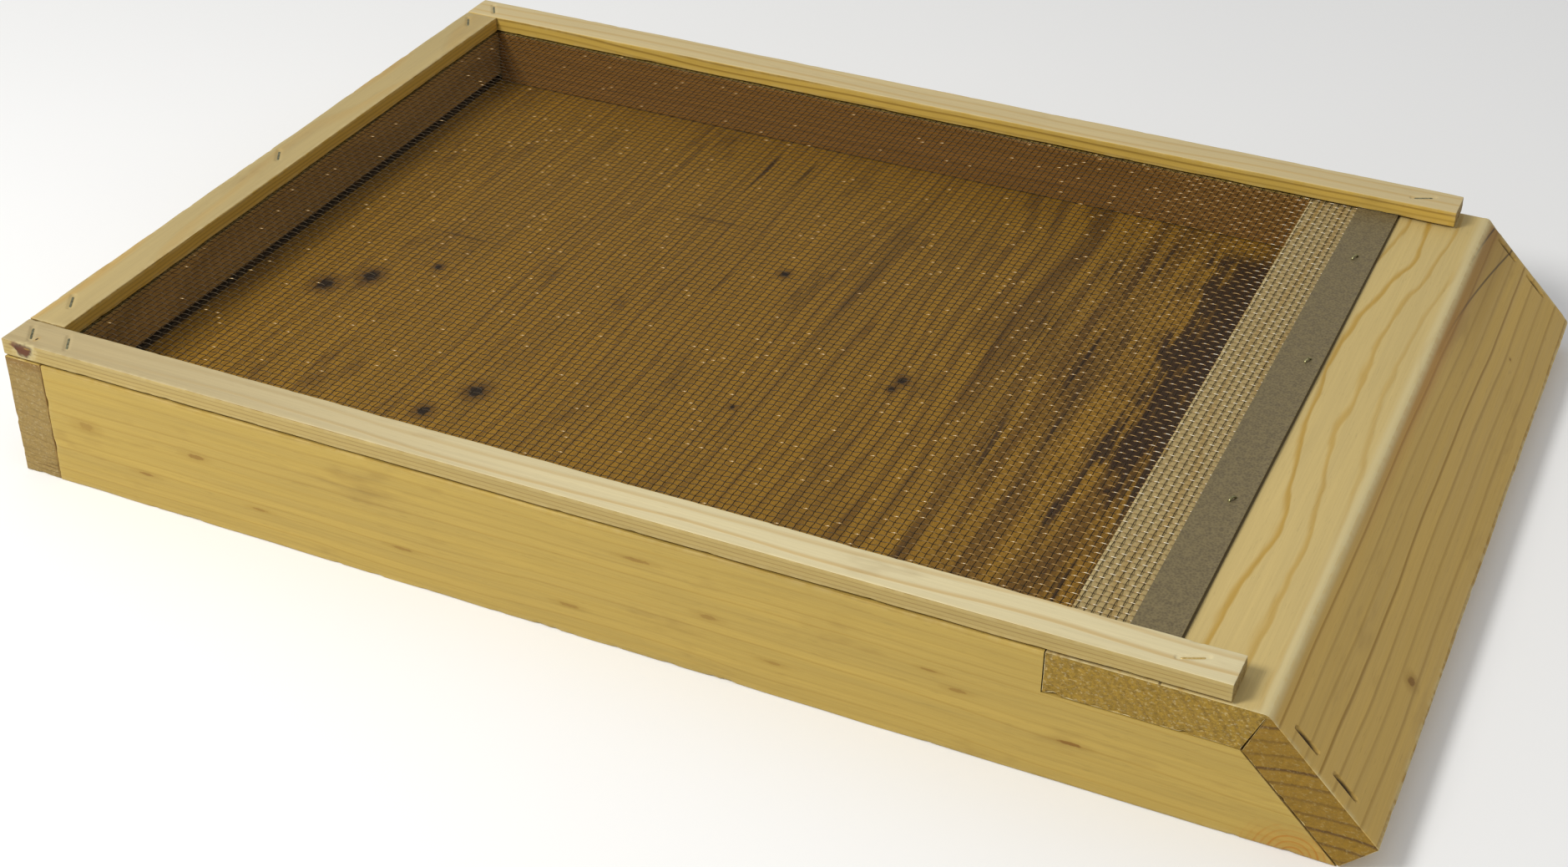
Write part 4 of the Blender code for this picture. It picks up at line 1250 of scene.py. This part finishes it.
def staple(name, node, up, steel, wire, crown, leg, lift=0.0, bow=0.0):
    """A bent staple: a flattened wire swept along a U.

    The path is a leg, a quarter round, the crown with a slight bow, a quarter round and a leg, in the
    plane of the crown's direction and up. The section is an ellipse-like oblong of eight points.
    """
    middle, along = crown_of(node, up)
    side = np.cross(along, up)
    bend = wire * 0.9
    top = lift - wire / 2
    half = crown / 2 - wire / 2
    turn = np.linspace(0, np.pi / 2, 5)
    run = np.linspace(-1, 1, 9)[1:-1]
    left = np.stack([-half + bend - bend * np.cos(turn), top - bend + bend * np.sin(turn)], axis=1)
    bowed = np.stack([run * (half - bend), top + bow * (1 - run ** 2)], axis=1)
    right = (left * np.array([-1.0, 1.0]))[::-1]
    path = np.concatenate([[[-half, -leg]], left, bowed, right, [[half, -leg]]])
    ahead = np.gradient(path, axis=0)
    ahead /= np.linalg.norm(ahead, axis=1, keepdims=True)
    normal = np.stack([-ahead[:, 1], ahead[:, 0]], axis=1)
    angle = (np.arange(8) + 0.5) * np.pi / 4
    thick = 0.42 * wire * np.sign(np.cos(angle)) * np.abs(np.cos(angle)) ** 0.7
    wide = 0.5 * wire * np.sign(np.sin(angle)) * np.abs(np.sin(angle)) ** 0.7
    flat = path[:, None, :] + normal[:, None, :] * thick[None, :, None]
    points = (middle + flat[..., :1] * along + flat[..., 1:] * up + wide[None, :, None] * side).reshape(-1, 3)
    last = (len(path) - 1) * 8
    caps = np.array([[0, 7, 6, 5], [0, 5, 4, 3], [0, 3, 2, 1]])
    ends = np.concatenate([caps, (last + caps)[:, ::-1]])
    faces = outward(points, np.concatenate([tube(len(path), 8), ends]))
    return piece(name, points, faces, [steel], stands_for=(node,), sharp=50.0)


class BOTTOMBOARD_OT_staples(Operator):
    """Make every staple: rails, deck, landing board and strip"""

    bl_idname = "bottom_board.staples"
    bl_label = "Staples"

    def execute(self, context):
        tones = context.scene.bottom_board_steel
        steel = galvanised("staple_wire", tones.staple_dark, tones.staple_light, roughness=0.38, scale=700.0)
        brass = galvanised("wood_coloured_staple_wire", tones.brass_dark, tones.brass_light, metallic=0.6,
                           roughness=0.45, scale=700.0)
        # Painted shade: nearly black, as the landing board's staples lie shaded in their slots.
        dark = galvanised("sunken_staple_wire", tones.sunken_dark, tones.sunken_light, metallic=0.3,
                          roughness=0.6, scale=700.0)
        rows = (("right_rail_staple", 3, UP), ("left_rail_staple", 2, UP), ("rear_rail_staple", 3, UP),
                ("landing_board_staple", 4, OUT_OF_SLOPE), ("deck_board_staple", 4, UP))
        for group, count, up in rows:
            for n in range(1, count + 1):
                near_deck = crown_of(f"{group}_{n}", up)[0][0] > DECK_LOW[0]
                finish = dark if group == "landing_board_staple" else steel
                finish = brass if group == "right_rail_staple" and near_deck else finish
                staple(f"{group}_wire_{n}", f"{group}_{n}", up, finish, **RAIL_STAPLE)
        green = galvanised("strip_staple_wire", tones.green_dark, tones.green_light, roughness=0.35,
                           scale=900.0)
        for n in range(1, 4):
            staple(f"strip_staple_wire_{n}", f"strip_staple_{n}", UP, green, **STRIP_STAPLE)
        return {"FINISHED"}


class BOTTOMBOARD_OT_nails(Operator):
    """Make the four nails through the rear board, with slightly domed heads"""

    bl_idname = "bottom_board.nails"
    bl_label = "Nails"

    def execute(self, context):
        tones = context.scene.bottom_board_steel
        steel = galvanised("nail_steel", tones.nail_dark, tones.nail_light, roughness=0.45, scale=500.0)
        profile = np.array([(0.00012, 0.0002), (0.00015, 0.0012), (0.00030, 0.0024), (0.00060, 0.0031),
                            (0.00095, 0.0031), (0.00130, 0.0027), (0.00150, 0.0014), (0.0200, 0.0014),
                            (0.0460, 0.0014), (0.0495, 0.0002)])
        spokes = 24
        angle = np.arange(spokes) * 2 * np.pi / spokes
        fan = np.array([[0, k + 2, k + 1, k] for k in range(1, spokes - 1, 2)])
        last = (len(profile) - 1) * spokes
        for n in range(1, 5):
            low, high = corners(f"rear_board_nail_{n}")
            middle = (low + high) / 2
            x = np.broadcast_to((low[0] + profile[:, 0])[:, None], (len(profile), spokes))
            y = middle[1] + profile[:, 1:] * np.cos(angle)
            z = middle[2] + profile[:, 1:] * np.sin(angle)
            points = np.stack([x, y, z], axis=-1).reshape(-1, 3)
            faces = outward(points, np.concatenate([tube(len(profile), spokes), fan, (last + fan)[:, ::-1]]))
            piece(f"rear_board_nail_shank_{n}", points, faces, [steel], stands_for=(f"rear_board_nail_{n}",))
        return {"FINISHED"}


class BOTTOMBOARD_OT_stage(Operator):
    """Make the floor, the lights and the camera"""

    bl_idname = "bottom_board.stage"
    bl_label = "Stage"

    def execute(self, context):
        stage = context.scene.bottom_board_stage
        self.floor(stage)
        self.lights(context.scene, stage)
        self.camera(context.scene, stage)
        return {"FINISHED"}

    def floor(self, stage):
        """A level grid of squares, 10 m wide, just below the boards."""
        made, graph, shader, place = new_material("studio_floor")
        soft = graph.noise(place, (3.0, 3.0, 3.0), 2.0)
        greyer = tuple(0.985 * c for c in stage.floor)
        graph.put(shader.inputs["Base Color"], graph.mix(graph.step(soft, 0.2, 0.8), stage.floor, greyer))
        graph.put(shader.inputs["Roughness"], graph.step(soft, 0.2, 0.8, 0.85, 0.92))
        shader.inputs["Specular IOR Level"].default_value = 0.1
        line = np.linspace(-5.0, 5.0, 21)
        x, y = (grid.ravel() for grid in np.meshgrid(line, line, indexing="ij"))
        i, j = (grid.ravel() for grid in np.meshgrid(np.arange(20), np.arange(20), indexing="ij"))
        number = i * 21 + j
        faces = np.stack([number, number + 21, number + 22, number + 1], axis=1)
        mesh = bpy.data.meshes.new("floor")
        mesh.from_pydata(np.stack([x, y, np.full_like(x, -0.0002)], axis=1).tolist(), [], faces.tolist())
        mesh.materials.append(made)
        floor = bpy.data.objects.new("floor", mesh)
        bpy.context.scene.collection.objects.link(floor)

    def lights(self, scene, stage):
        """Even light all round, and one round area light that points at the origin."""
        world = bpy.data.worlds.new("soft_studio")
        world.use_nodes = True
        sky = world.node_tree.nodes["Background"]
        sky.inputs["Color"].default_value = (1.0, 0.985, 0.96, 1.0)
        sky.inputs["Strength"].default_value = stage.fill
        scene.world = world
        light = bpy.data.lights.new("key_light", "AREA")
        light.shape = "DISK"
        light.size = 0.6
        light.energy = stage.key
        light.color = (1.0, 0.97, 0.91)
        obj = bpy.data.objects.new("key_light", light)
        back = np.array(KEY_LIGHT_PLACE) / np.linalg.norm(KEY_LIGHT_PLACE)
        right = np.cross(UP, back)
        right /= np.linalg.norm(right)
        self.aim(obj, right, np.cross(back, right), back, KEY_LIGHT_PLACE)
        scene.collection.objects.link(obj)

    @staticmethod
    def aim(obj, right, up, back, place):
        """Stands an object at a place with its axes along three directions."""
        rows = [[*axes, place[i]] for i, axes in enumerate(zip(right, up, back))]
        obj.matrix_world = Matrix(rows + [[0, 0, 0, 1]])

    def camera(self, scene, stage):
        """A camera at its place, turned by its three angles."""
        camera = bpy.data.cameras.new("camera")
        camera.lens = stage.lens
        camera.sensor_width = 36.0
        camera.clip_start = 0.01
        obj = bpy.data.objects.new("camera", camera)
        elevation, azimuth, roll = np.radians(CAMERA_ANGLES)
        back = np.array([np.sin(azimuth) * np.cos(elevation), -np.cos(azimuth) * np.cos(elevation),
                         np.sin(elevation)])
        level = np.array([np.cos(azimuth), np.sin(azimuth), 0.0])
        upright = np.cross(back, level)
        right = level * np.cos(roll) + upright * np.sin(roll)
        self.aim(obj, right, np.cross(back, right), back, tuple(stage.camera))
        scene.collection.objects.link(obj)
        scene.camera = obj
        scene.view_settings.view_transform = "Standard"


OPERATORS = (BOTTOMBOARD_OT_stage, BOTTOMBOARD_OT_side_boards, BOTTOMBOARD_OT_rear_board,
             BOTTOMBOARD_OT_deck_board, BOTTOMBOARD_OT_landing_board, BOTTOMBOARD_OT_rails,
             BOTTOMBOARD_OT_mite_board, BOTTOMBOARD_OT_wire_screen, BOTTOMBOARD_OT_screen_strip,
             BOTTOMBOARD_OT_staples, BOTTOMBOARD_OT_nails)


class BOTTOMBOARD_PT_pieces(Panel):
    """Lists the pieces in the sidebar."""

    bl_idname = "BOTTOMBOARD_PT_pieces"
    bl_label = "Bottom Board"
    bl_space_type = "VIEW_3D"
    bl_region_type = "UI"
    bl_category = "Bottom Board"

    def draw(self, context):
        for operator in OPERATORS:
            self.layout.operator(operator.bl_idname)
        for name, group in GROUPS.items():
            box = self.layout.box()
            for field in group.__annotations__:
                box.prop(getattr(context.scene, name), field)


def register():
    for group in GROUPS.values():
        bpy.utils.register_class(group)
    for operator in OPERATORS:
        bpy.utils.register_class(operator)
    bpy.utils.register_class(BOTTOMBOARD_PT_pieces)
    for name, group in GROUPS.items():
        setattr(bpy.types.Scene, name, PointerProperty(type=group))


def unregister():
    for name in GROUPS:
        delattr(bpy.types.Scene, name)
    bpy.utils.unregister_class(BOTTOMBOARD_PT_pieces)
    for operator in reversed(OPERATORS):
        bpy.utils.unregister_class(operator)
    for group in reversed(list(GROUPS.values())):
        bpy.utils.unregister_class(group)


def main():
    register()
    for operator in OPERATORS:
        name = operator.bl_idname.split(".")[1]
        getattr(bpy.ops.bottom_board, name)()


if __name__ == "__main__":
    main()
